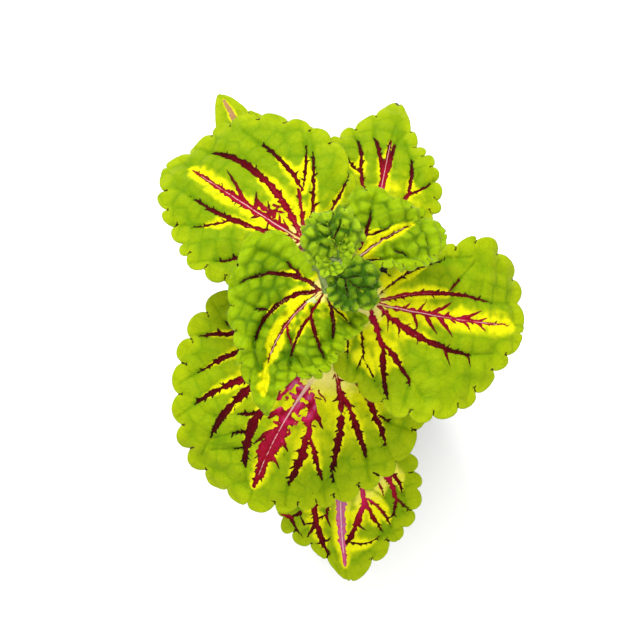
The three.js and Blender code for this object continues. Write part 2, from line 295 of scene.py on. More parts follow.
# depth of the bump in mm
def plainMaterial(name, deep, bright, scale, rough, bump=0.3, depth=0.3, specular=0.4, streak=(1, 1, 1)):
    material, g = newMaterial(name)
    place = g.node("ShaderNodeTexCoord", out="Object")
    place = g.node("ShaderNodeMapping", {"Vector": place, "Scale": streak})
    grain = g.noise(place, scale, 4.0, 0.6)
    fine = g.noise(place, scale * 6)
    relief = grain + fine * 0.5
    normal = g.node("ShaderNodeBump", {"Strength": bump, "Distance": depth * mm, "Height": relief})
    g.surface(g.node("ShaderNodeBsdfPrincipled", {
        "Base Color": g.mix(grain.ramp(0.32, 0.68), deep, bright),
        "Roughness": rough + fine * 0.15,
        "Specular IOR Level": specular,
        "Normal": normal,
    }))
    return material


# geometry node trees; the values of their inputs come with each use
def startTree(name, sockets):
    tree = bpy.data.node_groups.new(name, "GeometryNodeTree")
    tree.interface.new_socket("Geometry", in_out="INPUT", socket_type="NodeSocketGeometry")
    for label, kind in sockets.items():
        tree.interface.new_socket(label, in_out="INPUT", socket_type="NodeSocket" + kind)
    tree.interface.new_socket("Geometry", in_out="OUTPUT", socket_type="NodeSocketGeometry")
    graph = Graph(tree)
    entry = tree.nodes.new("NodeGroupInput")
    return tree, graph, {socket.name: Wire(graph, socket) for socket in entry.outputs if socket.name}


def finishTree(graph, result, material):
    solid = graph.node("GeometryNodeRealizeInstances", {"Geometry": result})
    painted = graph.node("GeometryNodeSetMaterial", {"Geometry": solid, "Material": material})
    graph.node("NodeGroupOutput", {"Geometry": painted})


# tubes along paths of edges; each point's own radius is a field of the path
def stalkTree():
    grooveFrom = 0.75  # share of the radius above which the top is pressed in
    tree, g, given = startTree("stalks", {"Sides": "Int", "Groove": "Float", "Material": "Material"})
    path = g.node("GeometryNodeMeshToCurve", {"Mesh": given["Geometry"]})
    path = g.node("GeometryNodeSetCurveNormal", {"Curve": path}, mode="Z_UP")
    ring = g.node("GeometryNodeCurvePrimitiveCircle", {"Resolution": given["Sides"], "Radius": 1.0})
    height = g.node("ShaderNodeSeparateXYZ", {"Vector": g.node("GeometryNodeInputPosition")}, out="Y")
    dent = g.node("ShaderNodeCombineXYZ", {"Y": 0 - height.ramp(grooveFrom, 1.0) * given["Groove"]})
    ring = g.node("GeometryNodeSetPosition", {"Geometry": ring, "Offset": dent})
    radius = g.node("GeometryNodeInputNamedAttribute", {"Name": "radius"})
    tube = g.node("GeometryNodeCurveToMesh",
                  {"Curve": path, "Profile Curve": ring, "Scale": radius, "Fill Caps": True})
    finishTree(g, tube, given["Material"])
    return tree


coat = {"thickness": 0.011, "lean": 0.45, "turns": (1.0, 1.0, 3.0), "sizes": (0.45, 1.15)}


# thin pointed hairs all over a surface, thicker where its field says so
def hairTree():
    tree, g, given = startTree("hairs", {
        "Density": "Float", "Length": "Float", "Thickness": "Float", "Lean": "Float", "Seed": "Int",
        "Material": "Material",
    })
    share = g.node("GeometryNodeInputNamedAttribute", {"Name": "hairy"})
    spread = g.node("GeometryNodeDistributePointsOnFaces",
                    {"Mesh": given["Geometry"], "Density": given["Density"] * share, "Seed": given["Seed"]})
    facing = Wire(g, spread.socket.node.outputs["Rotation"])
    hair = g.node("GeometryNodeMeshCone", {
        "Vertices": 3, "Radius Top": 0.0, "Radius Bottom": given["Thickness"], "Depth": given["Length"],
    })
    lean = g.scaled(g.anyVector(coat["turns"], given["Seed"]), given["Lean"])
    turned = g.node("FunctionNodeRotateRotation", {
        "Rotation": facing, "Rotate By": g.node("FunctionNodeEulerToRotation", {0: lean}),
    }, rotation_space="LOCAL")
    size = g.anyNumber(*coat["sizes"], given["Seed"])
    hairs = g.node("GeometryNodeInstanceOnPoints", {
        "Points": spread, "Instance": hair, "Rotation": turned,
        "Scale": g.node("ShaderNodeCombineXYZ", {"X": 1.0, "Y": 1.0, "Z": size}),
    })
    finishTree(g, hairs, given["Material"])
    return tree


crumb = {"lumps": 1.1, "lumpDepth": 1.5, "sizes": (0.4, 1.2), "narrow": 0.8, "turns": (3.0, 3.0, 3.0)}


# irregular crumbs on a surface
def crumbTree():
    tree, g, given = startTree("crumbs", {
        "Density": "Float", "Size": "Float", "Flatness": "Float", "Seed": "Int", "Material": "Material",
    })
    spread = g.node("GeometryNodeDistributePointsOnFaces",
                    {"Mesh": given["Geometry"], "Density": given["Density"], "Seed": given["Seed"]})
    ball = g.node("GeometryNodeMeshIcoSphere", {"Radius": given["Size"], "Subdivisions": 2})
    lumps = {"Vector": g.node("GeometryNodeInputPosition"), "Scale": crumb["lumps"] / given["Size"]}
    lump = g.node("ShaderNodeTexNoise", lumps, out="Color")
    push = g.node("ShaderNodeVectorMath", {0: lump, 1: (0.5, 0.5, 0.5)}, operation="SUBTRACT")
    push = g.scaled(push, given["Size"] * crumb["lumpDepth"])
    ball = g.node("GeometryNodeSetPosition", {"Geometry": ball, "Offset": push})
    turned = g.anyVector(crumb["turns"], given["Seed"])
    size = g.anyNumber(*crumb["sizes"], given["Seed"])
    pile = g.node("GeometryNodeInstanceOnPoints", {
        "Points": spread, "Instance": ball,
        "Scale": g.node("ShaderNodeCombineXYZ", {
            "X": size, "Y": size * crumb["narrow"], "Z": size * given["Flatness"],
        }),
        "Rotation": g.node("FunctionNodeEulerToRotation", {0: turned}),
    })
    finishTree(g, pile, given["Material"])
    return tree


def runTree(name, mesh, tree, values):
    maker = addObject(name, mesh)
    modifier = maker.modifiers.new("made", "NODES")
    modifier.node_group = trees[tree]
    for item in trees[tree].interface.items_tree:
        if item.in_out == "INPUT" and item.name in values:
            modifier[item.identifier] = values[item.name]
    shaped = maker.evaluated_get(bpy.context.evaluated_depsgraph_get())
    result = bpy.data.meshes.new_from_object(shaped)
    maker.modifiers.remove(modifier)
    maker.data = result
    result.name = name
    return maker


def setField(mesh, name, values):
    layer = mesh.attributes.new(name, "FLOAT", "POINT")
    layer.data.foreach_set("value", np.asarray(values, np.float32).ravel())


def meshFrom(name, points, faces):
    mesh = bpy.data.meshes.new(name)
    mesh.from_pydata([tuple(p) for p in np.asarray(points) * mm], [], faces)
    mesh.shade_smooth()
    return mesh


def pathMesh(name, paths):  # paths: lists of (points, radii) in mm
    points, edges, radii = [], [], []
    for places, widths in paths:
        first = len(points)
        points += [tuple(np.asarray(p) * mm) for p in places]
        edges += [(first + i, first + i + 1) for i in range(len(places) - 1)]
        radii += [w * mm for w in widths]
    mesh = bpy.data.meshes.new(name)
    mesh.from_pydata(points, edges, [])
    setField(mesh, "radius", radii)
    return mesh


def circle(sides):
    angles = [2 * math.pi * i / sides for i in range(sides)]
    return [(math.cos(a), math.sin(a)) for a in angles]


# quads between rings of points that follow one another
def bands(first, rings, sides):
    faces = []
    for ring in range(rings - 1):
        for i in range(sides):
            a, b = (first + ring * sides + (i + k) % sides for k in range(2))
            faces.append((a, b, b + sides, a + sides))
    return faces


# the same between a foot, numbered 0, and a top that comes last
def closedRings(rings, sides):
    last = 1 + (rings - 1) * sides
    pairs = [(i, (i + 1) % sides) for i in range(sides)]
    foot = [(0, 1 + b, 1 + a) for a, b in pairs]
    return foot + bands(1, rings, sides) + [(last + sides, last + a, last + b) for a, b in pairs]


def dress(piece, node):
    if node:
        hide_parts(node)
    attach(piece, "root")
    return piece


def joinPieces(name, pieces):
    with bpy.context.temp_override(active_object=pieces[0], selected_editable_objects=pieces):
        bpy.ops.object.join()
    pieces[0].name = name
    return pieces[0]


# density in hairs a square mm, length in mm
def growHair(name, piece, hairy, density, length):
    source = piece.data.copy()
    setField(source, "hairy", hairy)
    hairs = runTree(name, source, "hairs", {
        "Density": density / mm ** 2, "Length": length * mm, "Thickness": coat["thickness"] * mm,
        "Lean": coat["lean"], "Seed": len(name), "Material": materials["hair"],
    })
    dress(hairs, None)
    return hairs


# the stem, in the same sizes as the model
stem = {
    "top": 142.5, "bottom": 31, "footHalf": 2.8, "topHalf": 1.3,
    "squareness": 4, "facing": 15,
    "nodes": (76, 95, 113, 129, 138), "nodeSwell": 0.55, "nodeLength": 2.6,
    "scarDepth": 0.05, "scarLength": 0.5,
    "straightTo": 100, "lean": (-1.2, 3.4),
    "sides": 40, "step": 0.8, "tip": 0.4,
    "groove": 0.07,  # how far its four faces are hollowed, as a share
    "hairFrom": 58, "hairDensity": 1.1, "hairLength": 0.9,
    "hairShare": (0.35, 0.65), "hairDenser": (100, 40),  # denser from 100 mm up, over 40 mm
}

# the growing tip: two pointed, folded scale leaves
bud = {
    "length": 4.0, "width": 2.2, "thickness": 1.0, "spread": 18, "facing": 60, "sunk": 1,
    "rings": 14, "sides": 16, "fullness": 0.8, "taper": 0.35, "fold": 0.35, "arch": 0.5, "crinkle": 0.12,
}

petiole = {
    "radius": 1.15, "rise": 50, "sunk": 6, "gap": 0.3, "sides": 14, "groove": 0.35,
    "thinner": 0.75, "thinBelow": 25,  # stalks of leaves shorter than 25 mm
    "flare": 0.25, "points": 40, "root": 1.6, "below": 0.7,
    "hairDensity": 1.6, "hairLength": 0.8,
    "ridge": (0.34, 0.12), "ridgeSides": 8, "ridgeInset": 1.5,  # the side veins under the blade
}


def stemHalf(height):
    taper = stem["footHalf"] + (height - stem["bottom"]) / (stem["top"] - stem["bottom"]) * (
        stem["topHalf"] - stem["footHalf"])
    swell = max(math.exp(-((height - n) / stem["nodeLength"]) ** 2) for n in stem["nodes"])
    return taper + stem["nodeSwell"] * swell


def squared(angle):
    off = angle - math.radians(stem["facing"])
    n = stem["squareness"]
    return (abs(math.cos(off)) ** n + abs(math.sin(off)) ** n) ** (-1 / n)


def stemAxis(height):
    share = max(0.0, (height - stem["straightTo"]) / (stem["top"] - stem["straightTo"]))
    return np.array([stem["lean"][0] * share ** 2, stem["lean"][1] * share ** 2, height])


def makeStem():
    heights = np.arange(stem["bottom"], stem["top"] - stem["tip"], stem["step"])
    sides = stem["sides"]
    points = []
    for height in heights:
        scar = min(abs(height - n) for n in stem["nodes"])
        half = stemHalf(height) * (1 - stem["scarDepth"] * math.exp(-(scar / stem["scarLength"]) ** 2))
        for i in range(sides):
            angle = 2 * math.pi * i / sides
            flute = 1 - stem["groove"] * math.cos(2 * (angle - math.radians(stem["facing"]))) ** 2
            reach = half * squared(angle) * flute
            points.append(stemAxis(height) + np.array([reach * math.cos(angle), reach * math.sin(angle), 0]))
    last = (len(heights) - 1) * sides
    faces = bands(0, len(heights), sides)
    for i in range(sides):
        faces += [(len(points), (i + 1) % sides, i), (len(points) + 1, last + i, last + (i + 1) % sides)]
    points += [stemAxis(heights[0]), stemAxis(stem["top"])]
    parts = [addObject("stem", meshFrom("stem", points, faces), materials["stem"]), makeBud(0), makeBud(1)]

    for side in range(2):
        turn = bud["facing"] + 180 * side
        way = np.array([math.cos(math.radians(turn)), math.sin(math.radians(turn)), 0])
        foot = stemAxis(stem["top"]) + way * budLeaf["outward"] + np.array([0, 0, budLeaf["rise"]])
        leaf = leafDefaults | budLeaf | {"base": foot, "turn": turn, "seed": budLeaf["seed"] + side}
        mesh = bladeMesh(leaf, np.random.default_rng(leaf["seed"]))[0]
        parts.append(addObject("budLeaf", mesh, materials[leaf["skin"]]))
    piece = joinPieces("coleusStem", parts)
    dress(piece, "stem")

    low, more = stem["hairShare"]
    start, over = stem["hairDenser"]
    hairy = []
    for vertex in piece.data.vertices:
        z = vertex.co.z
        hairy.append((z > stem["hairFrom"] * mm) * (low + more * max(0, z - start * mm) / (over * mm)))
    growHair("stemHair", piece, hairy, stem["hairDensity"], stem["hairLength"])


def makeBud(side):
    rings, sides = bud["rings"], bud["sides"]
    points = [(0, 0, 0)]
    for ring in range(1, rings):
        share = ring / rings
        wide = math.sin(math.pi * share ** bud["fullness"]) ** bud["fullness"] * (1 - bud["taper"] * share)
        for c, s in circle(sides):
            x, y = bud["thickness"] / 2 * wide * c, bud["width"] / 2 * wide * s
            x += bud["fold"] * (y / bud["width"] * 2) ** 2 + bud["arch"] * share ** 2
            points.append((x + bud["crinkle"] * math.sin(9 * share + y * 4), y, share * bud["length"]))
    points.append((bud["arch"], 0, bud["length"]))
    spread = math.radians(bud["spread"])
    turn = math.radians(bud["facing"]) + side * math.pi
    foot = stemAxis(stem["top"])
    placed = []
    for x, y, z in points:
        x += bud["thickness"] / 2
        x, z = x * math.cos(spread) + z * math.sin(spread), z * math.cos(spread) - x * math.sin(spread)
        placed.append((foot[0] + x * math.cos(turn) - y * math.sin(turn),
                       foot[1] + x * math.sin(turn) + y * math.cos(turn),
                       foot[2] - bud["sunk"] + z))
    return addObject("bud", meshFrom("bud", placed, closedRings(rings - 1, sides)), materials["bud"])


# leaves, in mm; x runs along the midrib and y to its left, looking from the stalk to the tip
blade = {
    "thickness": 0.5, "rimRound": 0.12,
    "centreShare": 0.42,  # where the spokes of the mesh meet, along the midrib
    "edgeSteps": 400,
    "toothUneven": 0.35, "toothFade": 6,
    "tipFade": 2,
    "notchDrift": 0.13,  # shares of a tooth
    "notchDepth": (0.4, 0.95), "endNotch": 0.5,
    "lobeHeight": (0.34, 0.5), "lobeRound": 0.93,
    "lobeLean": 0.82,  # under 1 leans the lobes towards the tip
    "hairEdge": 3.0, "hairBelow": 0.15, "hairTop": 0.12,
    "hairDensity": 1.6, "hairLeast": 0.6, "hairLength": 0.8,
}

# What a leaf has unless its own table says otherwise. A vein or twig is (x, y, heading, bend, length, half
# width, tone at its start, tone at its end), where tone 0 is beige, 0.1 lilac pink, 0.5 crimson and 1 nearly
# black. The first vein is the midrib, a twig is a pointed side mark, and a tail is yellow with no red in it.
leafDefaults = {
    "skin": "leafSkin", "slot": "leaf", "grain": 0.36,
    "puff": (0.36, 5.4, 0.5, 0.4, 0.46),  # cushions: height, size, roundness, width and depth of creases
    "groove": (0.35, 0.6),  # depth and width of the furrow over a vein
    "swell": (0.9, 3.5),  # how the blade rises between its veins, and over how much
    "lobeDome": 0.8, "room": 0.4,
    "dim": 0.0,  # how much darker its green is
    "heart": 13, "glow": 3.2, "glowEnd": 0.75, "midGlow": (5.0, 3.0), "blotch": 0.40, "cream": 6.0,
    "pale": (0.26, 0.10, 0.9),  # the pale midrib line: half widths and how far it goes
    "spur": (2.4, 1.5, 0.56),  # thorns of the veins: gap, length and half width
    "teethSize": 0.8, "slimStart": 0.6,
    "ragged": 0.5, "fray": (1.6, 0.8), "torn": 0.0, "mottle": 0.0,
    "notch": 0.9, "specks": 8, "hair": 0.0, "twigs": [], "tails": [],
}

# what the small leaves in the heart and at the growing tip share
youngLeaf = {
    "skin": "youngSkin", "slot": "young_leaf", "grain": 0.2, "puff": (0.9, 3.8, 0.7, 0.5, 0.9),
    "groove": (0.3, 0.3), "swell": (0.5, 2.0), "lobeDome": 0.3, "room": 0.28, "teeth": 14, "tooth": 0.8,
    "point": 1, "hair": 2.5, "pale": (-9, -9, 1), "midGlow": (0.1, 0.1), "heart": 0.5, "glow": 0.1,
    "cream": 0.6, "spur": (3.0, 0.4, 0.12),
}

# the two crinkled little leaves that hold the bud
budLeaf = youngLeaf | {
    "name": "budLeaf", "seed": 30, "sweep": 0, "pitch": (70, -10), "length": 8, "left": (3.4, 4, 4.2, 4, 3.2),
    "right": (3.6, 4.2, 4.2, 3.8, 3.2), "fall": (-1.2, -1.2), "point": 0.6, "teeth": 12, "tooth": 0.7,
    "wave": (0.35, 5, 0.5), "pucker": (0.2, 4), "dim": 0.3, "rise": 0.8, "outward": 0.9, "grain": 0.18,
    "puff": (0.45, 1.9, 0.75, 0.3, 0.95), "groove": (0.2, 0.25), "swell": (0.3, 1.5), "lobeDome": 0.2,
    "spur": (3.0, 0.2, 0.08), "specks": 1,
    "veins": [
        (0.3, 0, 0, 0, 6.5, 0.0, 0.95, 1.0), (1.5, 0, 45, -15, 3, 0.0, 0.95, 1.0),
        (1.5, 0, -45, 15, 3, 0.08, 0.95, 1.0), (4, 0, 45, -15, 2.5, 0.0, 0.95, 1.0),
        (4, 0, -45, 15, 2.5, 0.0, 0.95, 1.0),
    ],
}

leaves = [
    {
        "name": "leaf_1_front", "pair": 0, "seed": 11, "base": (2, -33, 85), "turn": -87, "sweep": 10,
        "pitch": (-4, -50), "length": 54, "left": (24, 24, 24, 25, 24), "right": (21, 22, 20, 21, 22),
        "fall": (5, 5), "point": 5, "teeth": 20, "tooth": 2.2, "wave": (1.0, 5, 0.4), "pucker": (0.3, 13),
        "midGlow": (6.5, 2.6), "heart": 16, "pale": (0.3, 0.15, 0.9), "cream": 31.0, "glow": 3.8,
        "glowEnd": 0.95,
        "veins": [
            (2, 0, -4, 5, 46, 1.5, 0.1, 0.2), (4, 1, 24, -20, 21, 0.9, 0.22, 0.3),
            (24.2, 6.5, -15, -18, 16.5, 1.0, 0.3, 0.82), (24.2, 6.5, 16, 12, 14, 0.62, 0.32, 0.88),
            (38.6, 0.3, 62, 60, 11.2, 0.42, 0.86, 0.88), (24.5, 7.4, 52, -42, 14, 0.5, 0.34, 0.9),
            (3, 2, 54, -42, 27, 0.9, 0.24, 0.5), (25.3, 16.5, -6, -10, 5.8, 0.45, 0.5, 0.92),
            (25.3, 16.5, 39, 0, 5.6, 0.42, 0.6, 0.95), (14.8, 13.2, 58, -58, 11.2, 0.6, 0.4, 0.95),
            (16.5, 9.6, 30, -16, 8.5, 0.4, 0.4, 0.65), (4, -1, -38, 36, 23, 0.9, 0.3, 0.62),
            (24.2, -9.4, 0, 20, 20, 1.0, 0.58, 0.85), (18, -3, -14, 0, 12, 0.55, 0.5, 0.75),
            (29, -6, -60, 0, 3.8, 0.35, 0.75, 0.85), (6, -4, -58, 20, 26, 0.5, 0.45, 0.9),
            (0, -3, -80, 15, 17, 0.4, 0.5, 0.95), (0, 3, 82, -15, 17, 0.4, 0.5, 0.95),
        ],
        "twigs": [
            (32, -9.2, -37, 0, 5.6, 0.8, 0.75, 0.9), (31.5, -9.4, -90, 0, 3.8, 0.5, 0.8, 0.95),
            (31.6, -12.9, -160, 0, 4.4, 0.42, 0.9, 0.95), (28, -14.0, -63, 0, 4.4, 0.75, 0.85, 0.95),
            (29.3, -17, 18, 14, 8, 0.62, 0.8, 0.95), (29.6, -16.8, -108, 0, 4, 0.8, 0.6, 0.45),
            (29.4, -5.9, 20, 0, 4.2, 0.55, 0.65, 0.85), (38.2, -7.6, 100, 45, 3.8, 0.55, 0.85, 0.95),
            (38.7, -7.6, -85, 0, 3, 0.5, 0.8, 0.95), (31, 15.4, -52, 0, 3.4, 0.5, 0.9, 0.95),
            (31, 15.4, 45, 0, 2, 0.35, 0.9, 0.95), (30, 5, -60, 0, 2.2, 0.5, 0.4, 0.9),
            (32.5, 3.4, 52, 0, 4, 0.6, 0.6, 0.95), (33.8, 10.2, 60, 0, 2.2, 0.4, 0.8, 0.95),
        ],
    },
    {
        "name": "leaf_1_back", "pair": 0, "seed": 12, "base": (-8.5, 20, 88), "turn": 117, "sweep": 0,
        "pitch": (4, -30), "length": 72, "left": (22, 24, 26, 27, 27), "right": (22, 24, 26, 27, 27),
        "fall": (4, 4), "point": 8, "teeth": 22, "tooth": 1.8, "wave": (1.0, 5, 2.1), "pucker": (0.3, 13),
        "midGlow": (4.0, 1.7), "grain": 0.42, "pale": (0.3, -0.3, 0.8),
        "veins": [
            (2, 0, 0, -1, 66, 1.7, 0.1, -0.3), (4, 1, 30, -22, 34, 0.8, 0.3, 0.85),
            (26, 12, 40, -15, 12, 0.35, 0.7, 0.95), (4, -1, -32, 25, 33, 0.85, 0.3, 0.85),
            (24, -12.5, -42, 12, 12, 0.35, 0.7, 0.95), (2, 2, 58, -22, 26, 0.6, 0.4, 0.9),
            (2, -2, -60, 20, 26, 0.6, 0.4, 0.9), (24, 0, 34, -18, 24, 0.6, 0.4, 0.9),
            (25, 0, -36, 16, 24, 0.6, 0.4, 0.9), (38, 0, 36, -14, 16, 0.45, 0.45, 0.9),
            (39, 0, -34, 16, 16, 0.45, 0.45, 0.9), (0, 3, 95, -20, 18, 0.35, 0.5, 0.95),
            (0, -3, -95, 20, 18, 0.35, 0.5, 0.95),
        ],
    },
    {
        "name": "leaf_2_front", "pair": 1, "seed": 13, "base": (-1.6, -13, 107), "turn": -120, "sweep": 0,
        "pitch": (4, -46), "length": 58, "left": (30, 30, 34, 39, 38), "right": (38, 38, 41, 44, 40),
        "fall": (6, 6), "point": 0.5, "teeth": 26, "tooth": 2.3, "wave": (1.2, 6, 0.9), "pucker": (0.4, 14),
        "spur": (2.6, 2.6, 0.85), "cream": 18.5, "pale": (0.85, 0.1, 0.9), "heart": 34, "blotch": 0.24,
        "torn": 4.0, "slimStart": 0.22, "glow": 3.4, "glowEnd": 1.0, "midGlow": (7.5, 3.6), "ragged": 0.9,
        "fray": (2.4, 1.0), "mottle": 0.18, "specks": 30,
        "veins": [
            (12, 0.0, -8, 15, 39, 2.6, 0.33, 0.62), (13, 0.8, 22, 2, 16, 1.6, 0.3, 0.5),
            (27, 6.6, 11, -8, 18.5, 1.25, 0.5, 0.95), (27, 6.6, 48, -12, 15.5, 0.8, 0.42, 0.9),
            (6, 4, 46, -40, 33, 1.25, 0.42, 0.95), (33.5, 18.0, 40, 0, 4.5, 0.35, 0.9, 1.0),
            (10.5, 8.2, 58, -18, 23, 1.1, 0.42, 0.92), (5, 9, 68, -26, 25, 0.95, 0.42, 0.9),
            (11.6, 20.6, 88, 0, 6, 0.5, 0.75, 0.95), (7, 0, -42, 68, 43, 1.7, 0.36, 0.95),
            (29.5, -9.2, -62, 10, 7.5, 0.5, 0.7, 1.0), (35.5, -8.9, -56, 10, 6.5, 0.45, 0.8, 1.0),
            (41, -7.9, -50, 0, 5, 0.35, 0.9, 1.0), (5, -3, -45, 45, 44, 1.3, 0.42, 0.97),
            (16, -12, -50, 26, 28, 1.05, 0.44, 0.97), (2, -9, -56, 30, 36, 0.95, 0.42, 0.95),
            (3, -13, -62, 6, 29, 0.85, 0.42, 0.92), (10.6, -27, -100, 0, 6, 0.28, 0.6, 0.9),
            (0, 10, 98, -25, 22, 0.5, 0.45, 0.95),
        ],
        "twigs": [
            (14, -4.2, -12, 0, 9, 1.1, 0.2, 0.45), (14.3, 3, 66, -5, 5.8, 0.42, 0.42, 0.62),
            (31, -2.6, -34, 15, 8.5, 1.0, 0.4, 0.97), (37, -1, -31, 0, 6.4, 0.8, 0.45, 0.97),
            (24.5, -4, -25, 0, 5.4, 1.2, 0.3, 0.85), (33, 1, 57, 0, 3.8, 0.8, 0.4, 0.95),
            (39, 1, 58, 0, 4, 0.7, 0.45, 0.95), (19.5, 4.2, 54, 0, 7.4, 1.3, 0.3, 0.9),
            (22, -6, -60, 20, 5, 0.8, 0.3, 0.8),
        ],
    },
    {
        "name": "leaf_2_back", "pair": 1, "seed": 14, "base": (10.3, 20, 111), "turn": 79, "sweep": 0,
        "pitch": (8, -45), "length": 54.5, "left": (21, 20, 20, 22, 24), "right": (16, 15, 17, 21, 24),
        "fall": (4, 4), "point": 6, "teeth": 20, "tooth": 1.8, "wave": (0.9, 5, 1.2), "pucker": (0.3, 13),
        "dim": 0.15, "midGlow": (7.0, 0.8), "heart": 21, "pale": (0.4, 0.07, 0.95), "glow": 2.0,
        "glowEnd": 0.55, "cream": 9.0,
        "veins": [
            (2, 0, 0, 0, 33, 1.15, 0.22, 0.72), (18, 0.3, -9, 4, 16, 0.95, 0.45, 0.85),
            (21.0, 0.5, 12, 14, 15.8, 0.75, 0.5, 0.95), (2, 0.5, 26, -14, 21, 0.7, 0.4, 0.7),
            (20.6, 7.6, 49, -7, 10, 0.42, 0.75, 0.97), (20.6, 7.6, -2, 32, 14.8, 0.6, 0.65, 0.97),
            (2, -0.5, -38, 17, 17.4, 0.8, 0.4, 0.62), (16.0, -8.6, -2, 16, 13.5, 0.62, 0.6, 0.97),
            (16.0, -8.6, -55, 22, 10.3, 0.42, 0.65, 0.95), (0, 2, 70, -10, 17, 0.4, 0.45, 0.95),
            (0, -2, -74, 10, 16, 0.4, 0.45, 0.95),
        ],
        "twigs": [
            (52.4, 0.2, 2, 0, 2.6, 0.8, 1.0, 1.0),
        ],
    },
    {
        "name": "leaf_3_left", "pair": 2, "seed": 15, "base": (-10.5, 14, 130), "turn": 147, "sweep": 0,
        "pitch": (4, -42), "length": 55, "left": (25, 22, 24, 26, 26), "right": (29, 30, 32, 34, 34),
        "fall": (5, 5), "point": 3, "teeth": 22, "tooth": 2.0, "wave": (1.2, 5, 0), "pucker": (0.4, 14),
        "dim": 0.25, "midGlow": (5.2, 4.0), "heart": 18, "ragged": 0.6, "torn": 2.5, "spur": (3.0, 2.1, 0.66),
        "teethSize": 0.5,
        "veins": [
            (0.5, 1, 0, -9, 44.5, 1.15, 0.48, 0.52), (1, 0, -38, 50, 45, 1.2, 0.45, 0.93),
            (0, -1, -50, 2, 14.5, 0.7, 0.42, 0.6), (8.4, -12.4, -30, 25, 23, 0.72, 0.62, 0.97),
            (8.5, -13, -68, 22, 16, 0.42, 0.7, 0.97), (-1, -3, -62, 10, 27, 0.55, 0.55, 0.97),
            (1, 1, 24, -34, 38, 0.8, 0.42, 0.95), (21.7, 6.8, 45, -25, 12.8, 0.4, 0.6, 0.97),
            (0, 2, 52, -18, 26, 0.6, 0.45, 0.95), (-1, 4, 84, -20, 20, 0.45, 0.5, 0.97),
            (-2, -5, -95, 20, 22, 0.4, 0.5, 0.97),
        ],
        "twigs": [
            (21, 0, -37, 14, 12.5, 1.0, 0.5, 0.9), (16.7, 0, -59, 0, 5.6, 0.75, 0.52, 0.95),
            (12, -0.6, -50, 0, 4.8, 0.8, 0.56, 0.95), (14, -1.2, -20, 0, 5, 1.2, 0.5, 0.62),
            (12.5, -1.5, -150, 0, 5, 0.5, 0.52, 0.6), (10.5, 0, -75, 0, 4.6, 0.75, 0.5, 0.62),
            (12.8, -3.6, -165, 30, 5, 0.45, 0.55, 0.65), (7.5, 0.6, -48, 0, 4.6, 0.6, 0.5, 0.6),
            (4.8, 0.8, -36, 0, 4.6, 0.55, 0.5, 0.6), (14.2, 0.6, 52, 0, 3.6, 0.8, 0.5, 0.85),
            (9.5, -3.2, 30, 0, 3.2, 0.5, 0.52, 0.62), (5.6, -2.4, -8, 0, 3, 0.4, 0.55, 0.65),
            (11, 2, 117, 0, 3, 0.35, 0.6, 0.8), (22.9, 0.2, 80, 0, 2.0, 0.5, 0.5, 0.8),
            (26, -0.4, 51, 0, 2.2, 0.5, 0.5, 0.7), (30, -0.8, -50, 0, 2.4, 0.5, 0.5, 0.8),
        ],
    },
    {
        "name": "leaf_3_right", "pair": 2, "seed": 16, "base": (6.5, -4, 124), "turn": -7, "sweep": 8,
        "pitch": (6, -42), "length": 53, "left": (34, 31, 21, 18, 20), "right": (26, 28, 31, 31, 33),
        "fall": (4, 5), "point": 2, "teeth": 22, "tooth": 2.0, "wave": (1.1, 5, 2.6), "pucker": (0.4, 14),
        "midGlow": (5.4, 5.0), "heart": 18, "glow": 3.8, "cream": 9.5, "spur": (3.0, 2.0, 0.62),
        "teethSize": 0.5,
        "veins": [
            (4, 0.5, -4, 12, 45, 0.62, 0.4, 0.46), (5.4, 1.7, 24, -30, 37.5, 0.68, 0.45, 0.8),
            (25.9, 8.3, 45, 15, 6, 0.35, 0.6, 0.8), (4.5, 3.1, 52, -32, 27, 0.32, 0.75, 0.97),
            (5.5, -0.3, -38, 42, 32, 0.95, 0.42, 0.92), (3, -1.5, -63, 0, 11.5, 0.95, 0.42, 0.55),
            (8.7, -11.2, -88, 24, 16, 0.85, 0.6, 0.97), (8.7, -11.2, -40, -8, 11.5, 0.72, 0.55, 0.85),
            (17.1, -18.6, -76, 0, 4.2, 0.36, 0.8, 0.9), (1, -4, -80, 4, 12, 0.4, 0.6, 0.9),
            (3.1, -15.8, -104, 0, 5, 0.22, 0.9, 1.0), (3.1, -15.8, -46, -16, 9, 0.25, 0.9, 1.0),
            (-2, -9, -84, 4, 9, 0.3, 0.85, 1.0),
        ],
        "twigs": [
            (26.5, -9.2, -66, 0, 5.5, 0.7, 0.6, 0.9), (34.5, -9.4, -76, 0, 4, 0.55, 0.75, 0.95),
            (15.5, 0.2, -70, 0, 6, 0.85, 0.43, 0.72), (19, 0.1, -52, 0, 7.5, 0.9, 0.43, 0.8),
            (23.5, 0.1, -50, 0, 7.5, 0.95, 0.42, 0.75), (31, 0.3, -50, 0, 4.6, 0.75, 0.42, 0.6),
            (36, 0.8, -45, 0, 4.5, 0.6, 0.42, 0.6), (12.5, 0, 50, 0, 4, 0.5, 0.45, 0.6),
            (17, 0, 62, 0, 4, 0.65, 0.43, 0.7), (21, 0, 38, 0, 8, 0.85, 0.42, 0.7),
            (30, 0.2, 28, 0, 8.5, 0.8, 0.42, 0.62), (36.5, 0.8, 30, 0, 4, 0.55, 0.42, 0.55),
            (27, 0.2, -35, 0, 3, 0.7, 0.42, 0.55), (25.5, 0.2, 55, 0, 2.5, 0.6, 0.42, 0.6),
            (8, -1.6, -78, 0, 6.5, 0.5, 0.45, 0.8), (12, -4, -84, 0, 5.5, 0.5, 0.45, 0.8),
            (18, -6.5, -86, 0, 3.6, 0.5, 0.5, 0.8), (13, -5.2, 25, 0, 3.2, 0.45, 0.45, 0.6),
        ],
    },
    {
        "name": "leaf_4_front", "pair": 3, "seed": 17, "skin": "middleSkin", "base": (-4.5, -5, 141),
